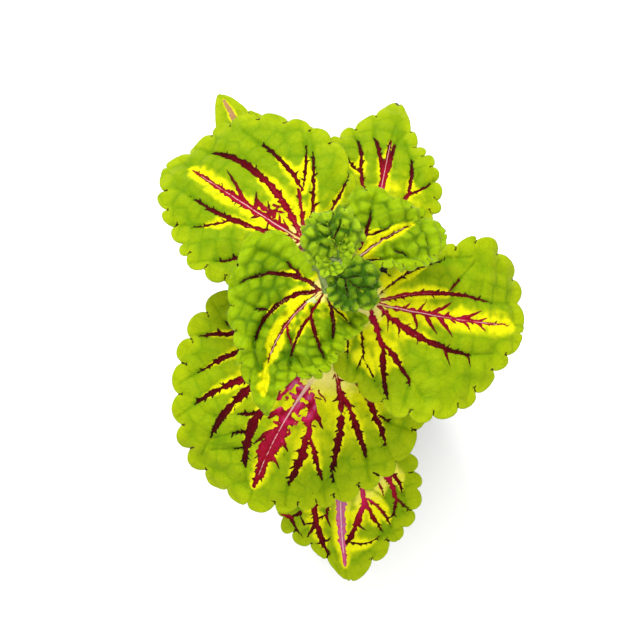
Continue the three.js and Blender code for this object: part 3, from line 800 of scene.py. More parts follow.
        "turn": -115, "sweep": 55, "pitch": (4, -40), "length": 42, "left": (13, 16, 16, 18, 28),
        "right": (15, 13, 18, 30, 23), "fall": (3, 3), "point": 4, "teeth": 20, "tooth": 1.3,
        "wave": (0.8, 6, 0.6), "pucker": (0.6, 9), "dim": 0.2, "grain": 0.32,
        "puff": (0.5, 3.6, 0.6, 0.45, 0.7), "groove": (0.6, 0.55), "swell": (1.4, 2.5), "hair": 1.2,
        "midGlow": (4.6, 2.4), "heart": 9, "glow": 2.0, "cream": 4.5, "spur": (2.4, 1.0, 0.36), "blotch": 0.9,
        "veins": [
            (1, 0, -6, 6, 26, 0.55, 0.5, 0.62), (1, -1, -85, 55, 22, 0.68, 0.66, 0.95),
            (1.9, -6.8, -88, 0, 7.7, 0.36, 0.7, 0.95), (1.5, -0.5, -45, 60, 24, 0.65, 0.64, 0.97),
            (14, -8, -75, 0, 3.5, 0.4, 0.9, 0.97), (1, 0.8, 16, 0, 7, 0.45, 0.56, 0.6),
            (7.5, 2.7, 4, 6, 17.5, 0.5, 0.62, 0.95), (7.5, 2.7, 50, -10, 15.2, 0.55, 0.64, 0.95),
            (14, -1.2, 42, 0, 6.8, 0.4, 0.5, 0.62), (0.4, 2.4, 72, -50, 14, 0.6, 0.74, 0.97),
            (0.8, 4.4, 100, 0, 9.6, 0.38, 0.9, 1.0), (-2.9, 2.1, 140, -30, 8.7, 0.3, 0.9, 1.0),
        ],
        "tails": [
            (26, -1.6, 2, 0, 9),
        ],
    },
    {
        "name": "leaf_4_right", "pair": 3, "seed": 18, "skin": "middleSkin", "base": (3.5, 4, 140),
        "turn": 20, "sweep": -20, "pitch": (15, -45), "length": 31, "left": (15, 13, 19, 17, 14),
        "right": (15, 11, 9, 8, 10), "fall": (2, 2), "point": 1, "teeth": 16, "tooth": 1.2,
        "wave": (0.9, 6, 1.7), "pucker": (0.7, 8), "grain": 0.28, "puff": (0.55, 4.0, 0.6, 0.5, 0.8),
        "groove": (0.6, 0.55), "swell": (1.2, 2.5), "hair": 2.0, "midGlow": (3.2, 2.4), "heart": 5,
        "glow": 1.6, "cream": 3.0, "spur": (2.6, 0.7, 0.24),
        "veins": [
            (1, -0.5, 12, 0, 21, 0.42, 0.6, 0.72), (3.5, 2.0, 36, 24, 12, 0.6, 0.66, 0.97),
            (6.6, 4.6, -15, 35, 9, 0.36, 0.8, 1.0), (1.7, -1.5, -12, -14, 9, 0.34, 0.95, 1.0),
            (13.4, -2.7, -45, 0, 4, 0.3, 0.9, 1.0), (24, 1, -70, -20, 5, 0.2, 0.9, 1.0),
            (0, 3, 80, -30, 12, 0.25, 0.9, 1.0),
        ],
    },
    youngLeaf | {
        "name": "leaf_5_left", "pair": 4, "seed": 19, "base": (-0.6, 5.2, 145), "turn": 112, "sweep": 0,
        "pitch": (62, -45), "length": 14, "left": (8, 8, 9, 9.5, 9), "right": (8, 8, 8, 9, 8.5),
        "fall": (-2, -2), "wave": (0.5, 6, 0), "pucker": (0.5, 5), "dim": 0.4,
        "veins": [
            (0.5, 0, 0, 0, 9, 0.14, 0.8, 1.0), (1, 0, 60, -20, 5, 0.05, 0.95, 1.0),
            (1, 0, -60, 20, 6, 0.16, 0.8, 1.0), (4, 0, 48, -15, 5, 0.12, 0.9, 1.0),
            (4, 0, -48, 15, 6, 0.22, 0.75, 1.0), (8, 0, -45, 10, 4, 0.12, 0.95, 1.0),
            (8, 0, 45, -10, 4, 0.12, 0.95, 1.0),
        ],
    },
    youngLeaf | {
        "name": "leaf_5_right", "pair": 4, "seed": 20, "base": (-2, -1.2, 145), "turn": -38, "sweep": -20,
        "pitch": (40, -60), "length": 17, "left": (8, 8, 8, 8, 8), "right": (8, 8, 8, 8, 8), "fall": (1, 1),
        "wave": (0.5, 6, 1.1), "pucker": (0.5, 5), "dim": 0.9,
        "veins": [
            (0.5, 0, 0, 0, 11, 0.18, 0.95, 1.0), (1, 0, 60, -20, 6, 0.0, 0.95, 1.0),
            (1, 0, -60, 20, 6, 0.12, 0.95, 1.0), (4.5, 0, 50, -15, 6, 0.2, 0.95, 1.0),
            (4.5, 0, -50, 15, 6, 0.22, 0.95, 1.0), (9, 0, 45, -15, 5, 0.12, 0.95, 1.0),
            (9, 0, -45, 15, 5, 0.0, 0.95, 1.0),
        ],
    },
]


# where a point of the flat blade ends up, as in the model: the midrib is an arc in plan and in side view
def onLeaf(leaf, x, y, lift):
    x, y, lift = (np.asarray(v, float) for v in (x, y, lift))
    swing = math.radians(leaf["sweep"]) or 1e-9
    bend = swing / leaf["length"]
    heading = -swing / 2 + bend * x
    along = (np.sin(heading) + math.sin(swing / 2)) / bend - y * np.sin(heading)
    aside = (math.cos(swing / 2) - np.cos(heading)) / bend + y * np.cos(heading)
    first, last = (math.radians(a) for a in leaf["pitch"])
    curl = (last - first) / leaf["length"]
    pitch = first + curl * np.maximum(along, 0)
    before = np.minimum(along, 0)
    out = (np.sin(pitch) - math.sin(first)) / curl + before * math.cos(first)
    high = (math.cos(first) - np.cos(pitch)) / curl + before * math.sin(first)
    widest = max(*leaf["left"], *leaf["right"])
    off = lift - np.where(y > 0, *leaf["fall"]) * (y / widest) ** 2
    out, high = out - off * np.sin(pitch), high + off * np.cos(pitch)
    turn = math.radians(leaf["turn"])
    return np.stack([
        leaf["base"][0] + out * math.cos(turn) - aside * math.sin(turn),
        leaf["base"][1] + out * math.sin(turn) + aside * math.cos(turn),
        leaf["base"][2] + high,
    ], -1)


def teethOf(leaf):
    chance = np.random.default_rng(leaf["seed"])
    teeth = leaf["teeth"]
    notches = np.arange(teeth + 1) + chance.uniform(-1, 1, teeth + 1) * blade["notchDrift"]
    notches[0], notches[-1] = 0, teeth
    depths = chance.uniform(*blade["notchDepth"], teeth + 1)
    depths[0] = depths[-1] = blade["endNotch"]
    return notches, depths, chance.uniform(*blade["lobeHeight"], teeth)


# the outline at shares of a turn from the tip, about the spoke centre: without teeth, with them, and how
# high its lobe is there
def outline(leaf, u):
    centre = blade["centreShare"] * leaf["length"]
    reaches = np.array([leaf["length"] - centre - leaf["point"], *leaf["left"], centre, *leaf["right"][::-1]])
    turns = 2 * np.pi * np.arange(len(reaches)) / len(reaches)
    knots = np.stack([reaches * np.cos(turns), reaches * np.sin(turns)], -1)
    teeth = leaf["teeth"]
    uneven = (np.sin(6 * np.pi * u) + np.sin(14 * np.pi * u)) / 2
    place = ((u + blade["toothUneven"] * uneven / (teeth * 2 * np.pi)) % 1) * len(knots)
    i = np.floor(place).astype(int)
    t = (place - i)[:, None]
    a, b, c, d = (knots[(i + k) % len(knots)] for k in (-1, 0, 1, 2))
    smooth = b + t * ((c - a) / 2 + t * ((2 * a - 5 * b + 4 * c - d) / 2 + t * (3 * b - a - 3 * c + d) / 2))

    notches, depths, heights = teethOf(leaf)
    k = np.clip(np.searchsorted(notches, u * teeth, side="right") - 1, 0, teeth - 1)
    t = np.clip((u * teeth - notches[k]) / (notches[k + 1] - notches[k]), 0, 1)
    forward = np.where(u < 0.5, t ** blade["lobeLean"], 1 - (1 - t) ** blade["lobeLean"])
    flat = math.sqrt(1 - blade["lobeRound"] ** 2)
    lobe = (np.sqrt(1 - (blade["lobeRound"] * (2 * forward - 1)) ** 2) - flat) / (1 - flat)
    low = -depths[k] * (1 - t) - depths[k + 1] * t
    fromTip = np.minimum(u, 1 - u) * teeth
    tip = leaf["point"] * np.exp(-blade["tipFade"] * fromTip)
    out = leaf["tooth"] * (low + (heights[k] - low) * lobe) + tip
    reach = np.hypot(*smooth.T)
    return smooth, smooth * ((reach + out) / reach)[:, None], lobe


def wholeEdge(leaf):  # without teeth and with them
    return outline(leaf, np.linspace(0, 1, blade["edgeSteps"], endpoint=False))[:2]


# rings of spokes round the centre; the inner rings have fewer, so that the points lie evenly
def bladeGrid(full, rings):
    share, turn, starts, counts = [0.0], [0.0], [0], [1]
    for ring in range(1, rings + 1):
        s = ring / rings
        count = full // (1 if s > 0.5 else 2 if s > 0.25 else 4 if s > 0.125 else 8)
        starts.append(len(share))
        counts.append(count)
        share += [s] * count
        turn += [i / count for i in range(count)]
    faces = []
    for ring in range(rings):
        n, m, a, b = counts[ring], counts[ring + 1], starts[ring], starts[ring + 1]
        if ring == 0:
            faces += [(0, b + i, b + (i + 1) % m) for i in range(m)]
        elif n == m:
            faces += [(a + i, b + i, b + (i + 1) % m, a + (i + 1) % n) for i in range(n)]
        else:
            for i in range(n):
                here, then = a + i, a + (i + 1) % n
                j, k, l = (b + (2 * i + more) % m for more in range(3))
                faces += [(here, j, k), (here, k, then), (then, k, l)]
    return np.array(share), np.array(turn), faces, starts, counts


def veinPath(vein, step=1.0):
    x, y, heading, bend, length = vein[:5]
    count = max(2, round(length / step))
    s = np.linspace(0, 1, count + 1)
    way = np.radians(heading + bend * (s[:-1] + s[1:]) / 2)
    hop = length / count
    right, up = np.cumsum(np.cos(way)) * hop, np.cumsum(np.sin(way)) * hop
    return s, np.concatenate([[x], x + right]), np.concatenate([[y], y + up])


marking = {
    "footWidth": 0.6, "midribFoot": 0.75, "widening": 1.6,  # shares of the full width, and how soon it comes
    "slimWithin": 12,  # mm; veins from nearer the stalk start as slim as their leaf says
    "taper": 0.78, "forkTaper": 0.35,
    "forkReach": 1.3,  # mm; a vein that ends where another starts stays thick
    "uneven": (0.78, 1.22), "shake": 0.10,
    "dashTone": 0.88, "dashFrom": 0.88, "dashWidth": 0.25, "dashShare": 0.3,  # dark thin ends break up
    "twigTip": 0.12, "twigRound": 0.8,
    "glowLength": 8, "glowRound": 0.12,  # shorter veins have no yellow beside them
    "toothFrom": 0.2, "toothMissing": 0.3, "toothAngle": (55, 85), "toothReach": (0.4, 1.0),
    "toothWidth": 0.6, "toothDarker": 0.2,
    "thornsTo": 0.95, "thornAngle": (40, 75), "thornReach": (0.35, 1.0), "thornRoot": (0.8, 1.3),
    "thornGap": (0.55, 1.45), "thornSwaps": 0.75, "thornDarker": 0.35,
    "tip": 0.02,
    "runOn": 7,  # mm that a vein goes on past its coloured end
    "notchShare": 0.85, "notchFrom": 0.12, "notchDepth": (0.5, 1.6), "notchSkew": (-0.5, 0.5),
    "notchWidths": (0.34, 0.20), "barLength": (0.2, 0.9), "barWidths": (0.14, 0.28),
    "speckPlace": (0.3, 0.9), "speckLength": 0.2, "speckWidths": (0.16, 0.10),
}
unpainted = -9  # a half width that leaves no colour


# a vein's half widths along its path
def veinWidths(leaf, number, vein, s, end, chance):
    first = marking["footWidth"]
    if number == 0:
        first = marking["midribFoot"]
    elif vein[0] < marking["slimWithin"]:
        first = leaf["slimStart"]
    forks = any(math.hypot(end[0] - v[0], end[1] - v[1]) < marking["forkReach"] for v in leaf["veins"])
    taper = marking["forkTaper"] if forks else marking["taper"]
    wide = vein[5] * np.minimum(1, first + marking["widening"] * s) * (1 - taper * s ** 4)
    wide = wide * chance.uniform(*marking["uneven"], len(s))
    if vein[7] > marking["dashTone"]:
        thin = (s > marking["dashFrom"]) & (wide < marking["dashWidth"])
        wide[(chance.random(len(s)) < marking["dashShare"]) & thin] = -0.1
    return wide


# every mark as short strokes: x0, y0, x1, y1, half widths, tones, glow reaches, and 1 where it is a real vein
def strokes(leaf, chance):
    rows = []

    def drawn(key):
        return chance.uniform(*marking[key])

    def stroke(start, end, widths, tones, glows=(0, 0), real=0):
        rows.append((*start, *end, *widths, *tones, *glows, real))

    def path(x, y, widths, tones, glows, real):
        for i in range(len(x) - 1):
            two = slice(i, i + 2)
            stroke((x[i], y[i]), (x[i + 1], y[i + 1]), widths[two], tones[two], glows[two], real)

    def spike(start, angle, length, root, tone, darker):
        end = start[0] + length * math.cos(angle), start[1] + length * math.sin(angle)
        stroke(start, end, (root, marking["tip"]), (tone, min(1, tone + darker)))

    thornGap, thornLength, thornWidth = leaf["spur"]
    marks = [(vein, 1) for vein in leaf["veins"]] + [(twig, 0) for twig in leaf["twigs"]]
    for number, (vein, real) in enumerate(marks):
        s, x, y = veinPath(vein)
        length, halfWidth, tone0, tone1 = vein[4:]
        if real:
            wide = veinWidths(leaf, number, vein, s, (x[-1], y[-1]), chance)
        else:
            tip = marking["twigTip"]
            wide = halfWidth * (tip + (1 - tip) * (1 - s) ** marking["twigRound"])
        tone = tone0 + (tone1 - tone0) * s
        glow = (leaf["glow"] + wide) * np.maximum(0, 1 - (s / leaf["glowEnd"]) ** 2)
        glow = glow * (length > marking["glowLength"]) * real
        if number == 0:
            roundEnd = np.minimum(1, (1.02 - s) / marking["glowRound"]) ** 0.5
            glow = np.interp(s, (0, 1), leaf["midGlow"]) * roundEnd
        x = x + chance.normal(0, marking["shake"], len(s))
        y = y + chance.normal(0, marking["shake"], len(s))
        path(x, y, wide, tone, glow, real)
        if not real:
            continue

        way = np.arctan2(np.gradient(y), np.gradient(x))
        side = chance.choice([-1, 1])
        for k in range(1, len(s) - 1):  # small teeth all along
            if wide[k] < marking["toothFrom"] or chance.random() < marking["toothMissing"]:
                continue
            angle = way[k] + chance.choice([-1, 1]) * math.radians(drawn("toothAngle"))
            longer = wide[k] + leaf["teethSize"] * drawn("toothReach")
            root = marking["toothWidth"] * wide[k]
            spike((x[k], y[k]), angle, longer, root, tone[k], marking["toothDarker"])
        reached = chance.uniform(0.4, 1) * thornGap
        while reached < length * marking["thornsTo"]:  # thorns along both sides, darker at their points
            i = reached / length * (len(s) - 1)
            k = int(i)
            foot = x[k] + (x[k + 1] - x[k]) * (i - k), y[k] + (y[k + 1] - y[k]) * (i - k)
            angle = way[k] + side * math.radians(drawn("thornAngle"))
            longer = thornLength * drawn("thornReach") * (1 - 0.3 * s[k])
            root = min(thornWidth * drawn("thornRoot"), 1.1 * abs(wide[k]) + 0.1)
            spike(foot, angle, abs(wide[k]) * 0.8 + longer, root, tone[k], marking["thornDarker"])
            side = -side if chance.random() < marking["thornSwaps"] else side
            reached += thornGap * drawn("thornGap")
        on = np.arange(marking["runOn"] + 1)
        x, y = x[-1] + on * math.cos(way[-1]), y[-1] + on * math.sin(way[-1])
        path(x, y, np.full(len(on), unpainted), np.ones(len(on)), np.zeros(len(on)), 0.6)

    for tail in leaf["tails"]:
        s, x, y = veinPath(tail)
        glow = leaf["midGlow"][1]
        for i in range(len(s) - 1):
            stroke((x[i], y[i]), (x[i + 1], y[i + 1]), (unpainted,) * 2, (1, 1), (glow, glow * 0.6), 1)

    # a dark mark in most notches, and a few specks
    centre = blade["centreShare"] * leaf["length"]
    edge = outline(leaf, teethOf(leaf)[0][1:-1] / leaf["teeth"])[1]
    size = leaf["notch"] * leaf["tooth"] / 2
    for px, py in edge:
        if chance.random() > marking["notchShare"] or centre + px < marking["notchFrom"] * leaf["length"]:
            continue
        reach = math.hypot(px, py)
        nx, ny = px / reach, py / reach
        deep = size * drawn("notchDepth")
        skew = drawn("notchSkew")
        ex, ey = centre + px - nx * deep - ny * skew, py - ny * deep + nx * skew
        stroke((centre + px, py), (ex, ey), [w * size for w in marking["notchWidths"]], (1, 0.9))
        bar = size * drawn("barLength")
        stroke((ex + ny * bar, ey - nx * bar), (ex - ny * bar * 0.7, ey + nx * bar * 0.7),
               [w * size for w in marking["barWidths"]], (1, 0.95))
    for _ in range(leaf["specks"]):
        px, py = edge[chance.integers(len(edge))] * drawn("speckPlace")
        stroke((centre + px, py), (centre + px + marking["speckLength"], py), marking["speckWidths"], (1, 1))
    return np.array(rows, np.float32)


# so that the tables of distances stay small
def fewAtOnce(count, most=3000):
    return [slice(start, start + most) for start in range(0, count, most)]


# the nearest stroke to every point, and what it says there
def nearest(x, y, rows):
    out = {key: np.empty(len(x), np.float32) for key in ("vein", "tone", "glow", "nerve", "wide")}
    x0, y0, x1, y1, w0, w1, t0, t1, g0, g1, real = rows.T
    dx, dy = x1 - x0, y1 - y0
    size = np.maximum(dx * dx + dy * dy, 1e-6)

    def pick(values, best):
        return np.take_along_axis(values, best, 1)[:, 0]

    for part in fewAtOnce(len(x)):
        px, py = x[part, None] - x0, y[part, None] - y0
        t = np.clip((px * dx + py * dy) / size, 0, 1)
        away = np.hypot(px - t * dx, py - t * dy)
        wide = w0 + t * (w1 - w0)
        best = (away - wide).argmin(1)[:, None]
        out["vein"][part] = pick(away - wide, best)
        out["wide"][part] = pick(wide, best)
        out["tone"][part] = pick(t0 + t * (t1 - t0), best)
        reach = g0 + t * (g1 - g0)
        out["glow"][part] = np.where(reach > 0.05, 1 - away / np.maximum(reach, 0.05), 0).max(1)
        out["nerve"][part] = np.where(real > 0, away + (1 - real), 99).min(1)
    return out


# soft noise between -1 and 1, with a new value every so many mm
def grainy(x, y, size, chance):
    cells = 64
    lattice = chance.uniform(-1, 1, (cells, cells)).astype(np.float32)
    px, py = x / size, y / size
    i, j = np.floor(px).astype(int), np.floor(py).astype(int)
    u, v = px - i, py - j
    u, v = u * u * (3 - 2 * u), v * v * (3 - 2 * v)
    a, b = lattice[i % cells, j % cells], lattice[(i + 1) % cells, j % cells]
    c, d = lattice[i % cells, (j + 1) % cells], lattice[(i + 1) % cells, (j + 1) % cells]
    return (a * (1 - u) + b * u) * (1 - v) + (c * (1 - u) + d * u) * v


quilt = {
    "beside": 0.5, "apart": 0.78, "tries": 16,  # shares of a cushion's size
    "spare": 6, "behind": 10,  # mm that the cushions go on past the blade
    "fading": (0.75, 4.0), "crown": 0.8,
}


# the middles of the cushions: along both sides of every vein first, then wherever there is room
def cushionSeeds(leaf, rows, chance):
    step = leaf["puff"][1]
    real = rows[rows[:, -1] > 0]
    middle = (real[:, 0:2] + real[:, 2:4]) / 2
    way = real[:, 2:4] - real[:, 0:2]
    way = way / np.hypot(*way.T)[:, None]
    side = np.stack([-way[:, 1], way[:, 0]], -1) * step * quilt["beside"]
    low, high = -quilt["behind"] - leaf["length"] * 0.3, leaf["length"] + quilt["spare"]
    reach = max(*leaf["left"], *leaf["right"]) + quilt["spare"]
    tries = int((high - low) * reach * quilt["tries"] / step ** 2)
    anywhere = chance.uniform((low, -reach), (high, reach), (tries, 2))
    kept = np.empty((0, 2))
    for spot in np.concatenate([middle + side, middle - side, anywhere]):
        if np.hypot(*(middle - spot).T).min() < step * leaf["room"]:
            continue
        if len(kept) and np.hypot(*(kept - spot).T).min() < step * quilt["apart"]:
            continue
        kept = np.vstack([kept, spot])
    return kept


# 1 on top of a cushion, 0 in the creases that part it from its neighbours; some creases nearly fade away
def cushions(leaf, x, y, rows, chance):
    step, dome, crease, strength = leaf["puff"][1:]
    seeds = cushionSeeds(leaf, rows, chance).astype(np.float32)
    first, second = np.empty((2, len(x)), np.float32)
    for part in fewAtOnce(len(x)):
        square = (x[part, None] - seeds[:, 0]) ** 2 + (y[part, None] - seeds[:, 1]) ** 2
        first[part], second[part] = np.sqrt(np.partition(square, 1, axis=1)[:, :2]).T
    fold = np.exp(-((second - first) / (2 * crease)) ** 2)
    fading, size = quilt["fading"]
    fold *= strength * np.clip(fading + fading * grainy(x, y, size, chance), 0.05, 1)
    top = np.clip(1 - (first / (quilt["crown"] * step)) ** 2, 0, 1)
    return (1 - fold) * (1 - dome + dome * top)


# the pale line down the midrib, and shorter ones at the foot of the long veins that start near the stalk
def paleLine(leaf, x, y):
    sideShare, sideWidth, minLength, maxStart = 0.45, 0.3, 14, 7
    start, end, share = leaf["pale"]
    best = np.full(len(x), 9.0)
    for number, vein in enumerate(leaf["veins"]):
        if number and (vein[4] < minLength or vein[0] > maxStart):
            continue
        part, scale = (sideShare, sideWidth) if number else (share, 1.0)
        s, px, py = veinPath(vein)
        keep = s <= part
        s, px, py = s[keep], px[keep], py[keep]
        k = np.hypot(x[:, None] - px, y[:, None] - py).argmin(1)
        k = np.clip(k, 0, len(s) - 2)
        dx, dy = px[k + 1] - px[k], py[k + 1] - py[k]
        t = np.clip(((x - px[k]) * dx + (y - py[k]) * dy) / (dx * dx + dy * dy), -1, 1)
        near = np.hypot(x - px[k] - t * dx, y - py[k] - t * dy)
        best = np.minimum(best, near - scale * (end + (start - end) * (1 - s[k] / part) ** 4))
    return best


# how the markings fray, tear and mottle, and how the yellow gathers in the heart of the leaf
def weather(leaf, marks, x, y, chance):
    coarse, fine = leaf["fray"]
    frayed = 0.7 * grainy(x, y, coarse, chance) + 0.45 * grainy(x, y, fine, chance)
    marks["vein"] += leaf["ragged"] * np.clip(marks["wide"] - 0.2, 0, 2) * frayed
    torn = 0.5 + grainy(x, y, 1.9, chance) + 0.6 * grainy(x, y, 0.8, chance)
    broad = np.clip((marks["wide"] - 0.8) / 1.2, 0, 1)
    marks["vein"] += leaf["torn"] * np.clip(1 - np.hypot(x, y) / leaf["heart"], 0, 1) * broad * torn
    marks["tone"] += leaf["mottle"] * grainy(x, y, 1.6, chance) * (marks["tone"] < 0.45)
    marks["glow"] = np.maximum(marks["glow"], 1 - np.hypot(x * 0.8, y) / leaf["heart"])
    blotches = 0.6 * grainy(x, y, 3.4, chance) + 0.5 * grainy(x, y, 1.5, chance)
    marks["glow"] += leaf["blotch"] * blotches * np.clip(marks["glow"] * 3, 0, 1)


def bladeMesh(leaf, chance):
    edge = wholeEdge(leaf)[0]
    around = np.hypot(*(edge - np.roll(edge, 1, 0)).T).sum()
    full = leaf["teeth"] * 8 * max(1, round(around / leaf["teeth"] / leaf["grain"] / 8))
    rings = 2 * round(np.hypot(*edge.T).mean() / leaf["grain"] / 2)
    share, turn, faces, starts = bladeGrid(full, rings)[:4]
    lowFaces, lowStarts, lowCounts = bladeGrid(full // 2, rings // 2)[2:]  # the underside is half as fine
    low = np.concatenate([starts[2 * r] + np.arange(n) * (2 if r else 1) for r, n in enumerate(lowCounts)])

    smooth, toothed, lobe = outline(leaf, turn)
    away = (smooth + (toothed - smooth) * (share ** blade["toothFade"])[:, None]) * share[:, None]
    centre = blade["centreShare"] * leaf["length"]
    x, y = (centre + away[:, 0]).astype(np.float32), away[:, 1].astype(np.float32)
    rows = strokes(leaf, chance)
    marks = nearest(x, y, rows)
    weather(leaf, marks, x, y, chance)

    height, waves, phase = leaf["wave"]
    bump, bumpLength = leaf["pucker"]
    cell = 2 * math.pi / bumpLength
    lift = height * share ** 2 * np.sin(2 * np.pi * waves * turn + phase)
    lift += bump * np.sin(cell * (away[:, 0] + away[:, 1])) * np.sin(cell * (away[:, 0] - away[:, 1]))
    swell, swellWide = leaf["swell"]
    lift += swell * (0.3 - np.exp(-(marks["nerve"] / swellWide) ** 2)) * (1 - share ** 8)
    deep, wide = leaf["groove"]
    groove = np.exp(-(marks["nerve"] / wide) ** 2)
    # the cushions' height shapes the blade, and the same field paints shade into the creases and light onto
    # the cushion tops in the material
    cushionAndShade = cushions(leaf, x, y, rows, chance) * (1 - groove)
    lift += leaf["puff"][0] * (cushionAndShade - 0.6) - deep * groove
    lift += leaf["lobeDome"] * (lobe - 0.6) * share ** 14

    half = blade["thickness"] / 2
    rim = np.arange(starts[-1], starts[-1] + full)
    outward = away[rim] / np.hypot(*away[rim].T)[:, None] * blade["rimRound"]
    points = np.concatenate([
        onLeaf(leaf, x, y, lift + half),
        onLeaf(leaf, x[low], y[low], lift[low] - half),
        onLeaf(leaf, x[rim] + outward[:, 0], y[rim] + outward[:, 1], lift[rim]),
    ])
    count, last = len(x), len(x) + len(low)
    allFaces = faces + [tuple(count + i for i in face[::-1]) for face in lowFaces]
    for i in range(full):
        allFaces.append((rim[i], last + i, last + (i + 1) % full, rim[(i + 1) % full]))
    for i in range(full // 2):
        a, b, c = (last + (2 * i + k) % full for k in range(3))
        d, e = (count + lowStarts[-1] + (i + k) % (full // 2) for k in range(2))
        allFaces += [(a, d, b), (b, d, e), (b, e, c)]
    mesh = meshFrom(leaf["name"], points, allFaces)

    def everywhere(values):
        return np.concatenate([values, values[low], values[rim]])

    fromRim = np.hypot(*toothed.T) * (1 - share)
    fields = {
        "vein": np.clip(everywhere(marks["vein"]), -3, 3),
        "tone": everywhere(marks["tone"]),
        "glow": np.clip(everywhere(marks["glow"]), 0, 1),
        # painted shade in the creases and painted light on the cushion tops, lowered by the leaf's dim
        "cushionAndShade": everywhere(cushionAndShade) - leaf["dim"],
        "rim": everywhere(fromRim),
        "cream": np.clip(1.25 - everywhere(np.hypot(x, y)) / leaf["cream"], 0, 1),
        "pale": everywhere(paleLine(leaf, x, y)),
        "under": np.concatenate([np.zeros(count), np.ones(len(low)), np.full(full, 0.5)]),
    }
    for name, values in fields.items():
        setField(mesh, name, values)
    uv = mesh.uv_layers.new(name="flat")
    flat = np.stack([everywhere(x) / 100 + leaf["seed"] * 0.37, everywhere(y) / 100], -1)
    corners = np.empty(len(mesh.loops), int)
    mesh.loops.foreach_get("vertex_index", corners)
    uv.data.foreach_set("uv", flat[corners].astype(np.float32).ravel())
    hairy = np.clip(everywhere(1 - fromRim / blade["hairEdge"]), 0, 1) + leaf["hair"] * blade["hairTop"]
    hairy[count:last] += blade["hairBelow"]

    def liftAt(px, py):
        return lift[np.hypot(x[:, None] - px, y[:, None] - py).argmin(0)]

    return mesh, hairy, liftAt


# the stalk's path from the stem, on under the blade as its midrib, and the side veins' ridges there
def stalkPaths(leaf, liftAt):
    node = stem["nodes"][leaf["pair"]]
    axis = stemAxis(node)
    side = np.array([leaf["base"][0] - axis[0], leaf["base"][1] - axis[1], 0.0])
    side /= np.linalg.norm(side)
    rise = math.radians(petiole["rise"])
    surface = stemHalf(node) * squared(math.atan2(side[1], side[0]))
    radius = petiole["radius"] * (petiole["thinner"] if leaf["length"] <= petiole["thinBelow"] else 1.0)
    smaller = min(1, leaf["length"] / 40)
    half = blade["thickness"] / 2
    sunk = petiole["sunk"] * smaller
    start = axis + side * (surface + petiole["gap"] + petiole["radius"] * math.sin(rise))
    end = onLeaf(leaf, sunk, 0, liftAt([sunk], [0])[0] - half - radius * petiole["below"])
    before = onLeaf(leaf, -sunk, 0, -radius)
    leaving = side * math.cos(rise) + np.array([0, 0, math.sin(rise)])
    reach = np.linalg.norm(start - end) / 3
    t = np.linspace(0, 1, petiole["points"])[:, None]
    corners = (start, start + leaving * reach, before, end)
    way = sum(w * (1 - t) ** (3 - k) * t ** k * c for k, (w, c) in enumerate(zip((1, 3, 3, 1), corners)))
    way = np.concatenate([[start - leaving * petiole["root"]], way])
    flare = 1 + petiole["flare"] * np.exp(-np.arange(len(way)) / 3)
    widths = radius * flare * np.linspace(1, 0.92, len(way))

    ridges = []
    centre = blade["centreShare"] * leaf["length"]
    edge = wholeEdge(leaf)[1]
    for number, vein in enumerate(leaf["veins"]):
        x, y = veinPath(vein)[1:]
        away = np.hypot(x - centre, y) - np.interp(np.arctan2(y, x - centre), np.arctan2(*edge.T[::-1]),
                                                   np.hypot(*edge.T), period=2 * math.pi)
        inside = (away < -petiole["ridgeInset"]).cumprod() > 0
        x, y = x[inside], y[inside]
        if len(x) < 5:
            continue
        size = np.linspace(*petiole["ridge"], len(x)) * smaller
        if number == 0:
            keep = x > sunk - 1
            x, y = x[keep], y[keep] * np.clip((x[keep] - sunk) / 6, 0, 1)
            size = np.linspace(radius * 0.9, 0.2, len(x))
        ridges.append((onLeaf(leaf, x, y, liftAt(x, y) - np.maximum(half + size * 0.5, size)), size))
    return (way, widths), ridges


def makeLeaf(leaf):
    leaf = leafDefaults | leaf
    name, slot = leaf["name"], leaf["slot"]
    mesh, hairy, liftAt = bladeMesh(leaf, np.random.default_rng(leaf["seed"]))
    body = addObject(name, mesh, materials[leaf["skin"]])
    density = blade["hairDensity"] * max(leaf["hair"], blade["hairLeast"])
    hair = growHair(name + "_hair", body, hairy, density, blade["hairLength"])
    stalk, ridges = stalkPaths(leaf, liftAt)
    stalkPiece = runTree("stalk", pathMesh("stalk", [stalk]), "stalks", {
        "Sides": petiole["sides"], "Groove": petiole["groove"], "Material": materials["petiole"],
    })
    ridgePiece = runTree("ridges", pathMesh("ridges", ridges), "stalks", {
        "Sides": petiole["ridgeSides"], "Groove": 0.0, "Material": materials["ridge"],
    })
    stalkHair = growHair(name + "_stalkHair", stalkPiece, np.ones(len(stalkPiece.data.vertices)),
                         petiole["hairDensity"], petiole["hairLength"])
    joinPieces(name + "_hair", [hair, stalkHair])
    for piece in (stalkPiece, ridgePiece):
        piece.data.shade_smooth()
    piece = joinPieces(name + "_look", [body, stalkPiece, ridgePiece])
    dress(piece, name)
    print("leaf", name, len(piece.data.polygons), "faces", len(hair.data.polygons), "in hairs")


pot = {
    "height": 66, "footRadius": 27, "rimRadius": 38, "rimDepth": 8, "rimStep": 1.6, "wall": 1.2, "floor": 1.6,
    "drainRadius": 3, "drainCircle": 18.5, "drains": 8, "drainSides": 32, "drainCut": 12,
    "sides": 160, "sharpFrom": 40,
    "ringEvery": 6,  # mm between the rings of points up its wall
}


def wallRadius(height):
    top = pot["rimRadius"] - pot["rimStep"]
    return pot["footRadius"] + (top - pot["footRadius"]) * height / pot["height"]


def turned(name, profile, sides):
    points = [(0, 0, profile[0][1])]
    for radius, height in profile[1:-1]:
        points += [(radius * c, radius * s, height) for c, s in circle(sides)]
    points.append((0, 0, profile[-1][1]))
    return meshFrom(name, points, closedRings(len(profile) - 2, sides))


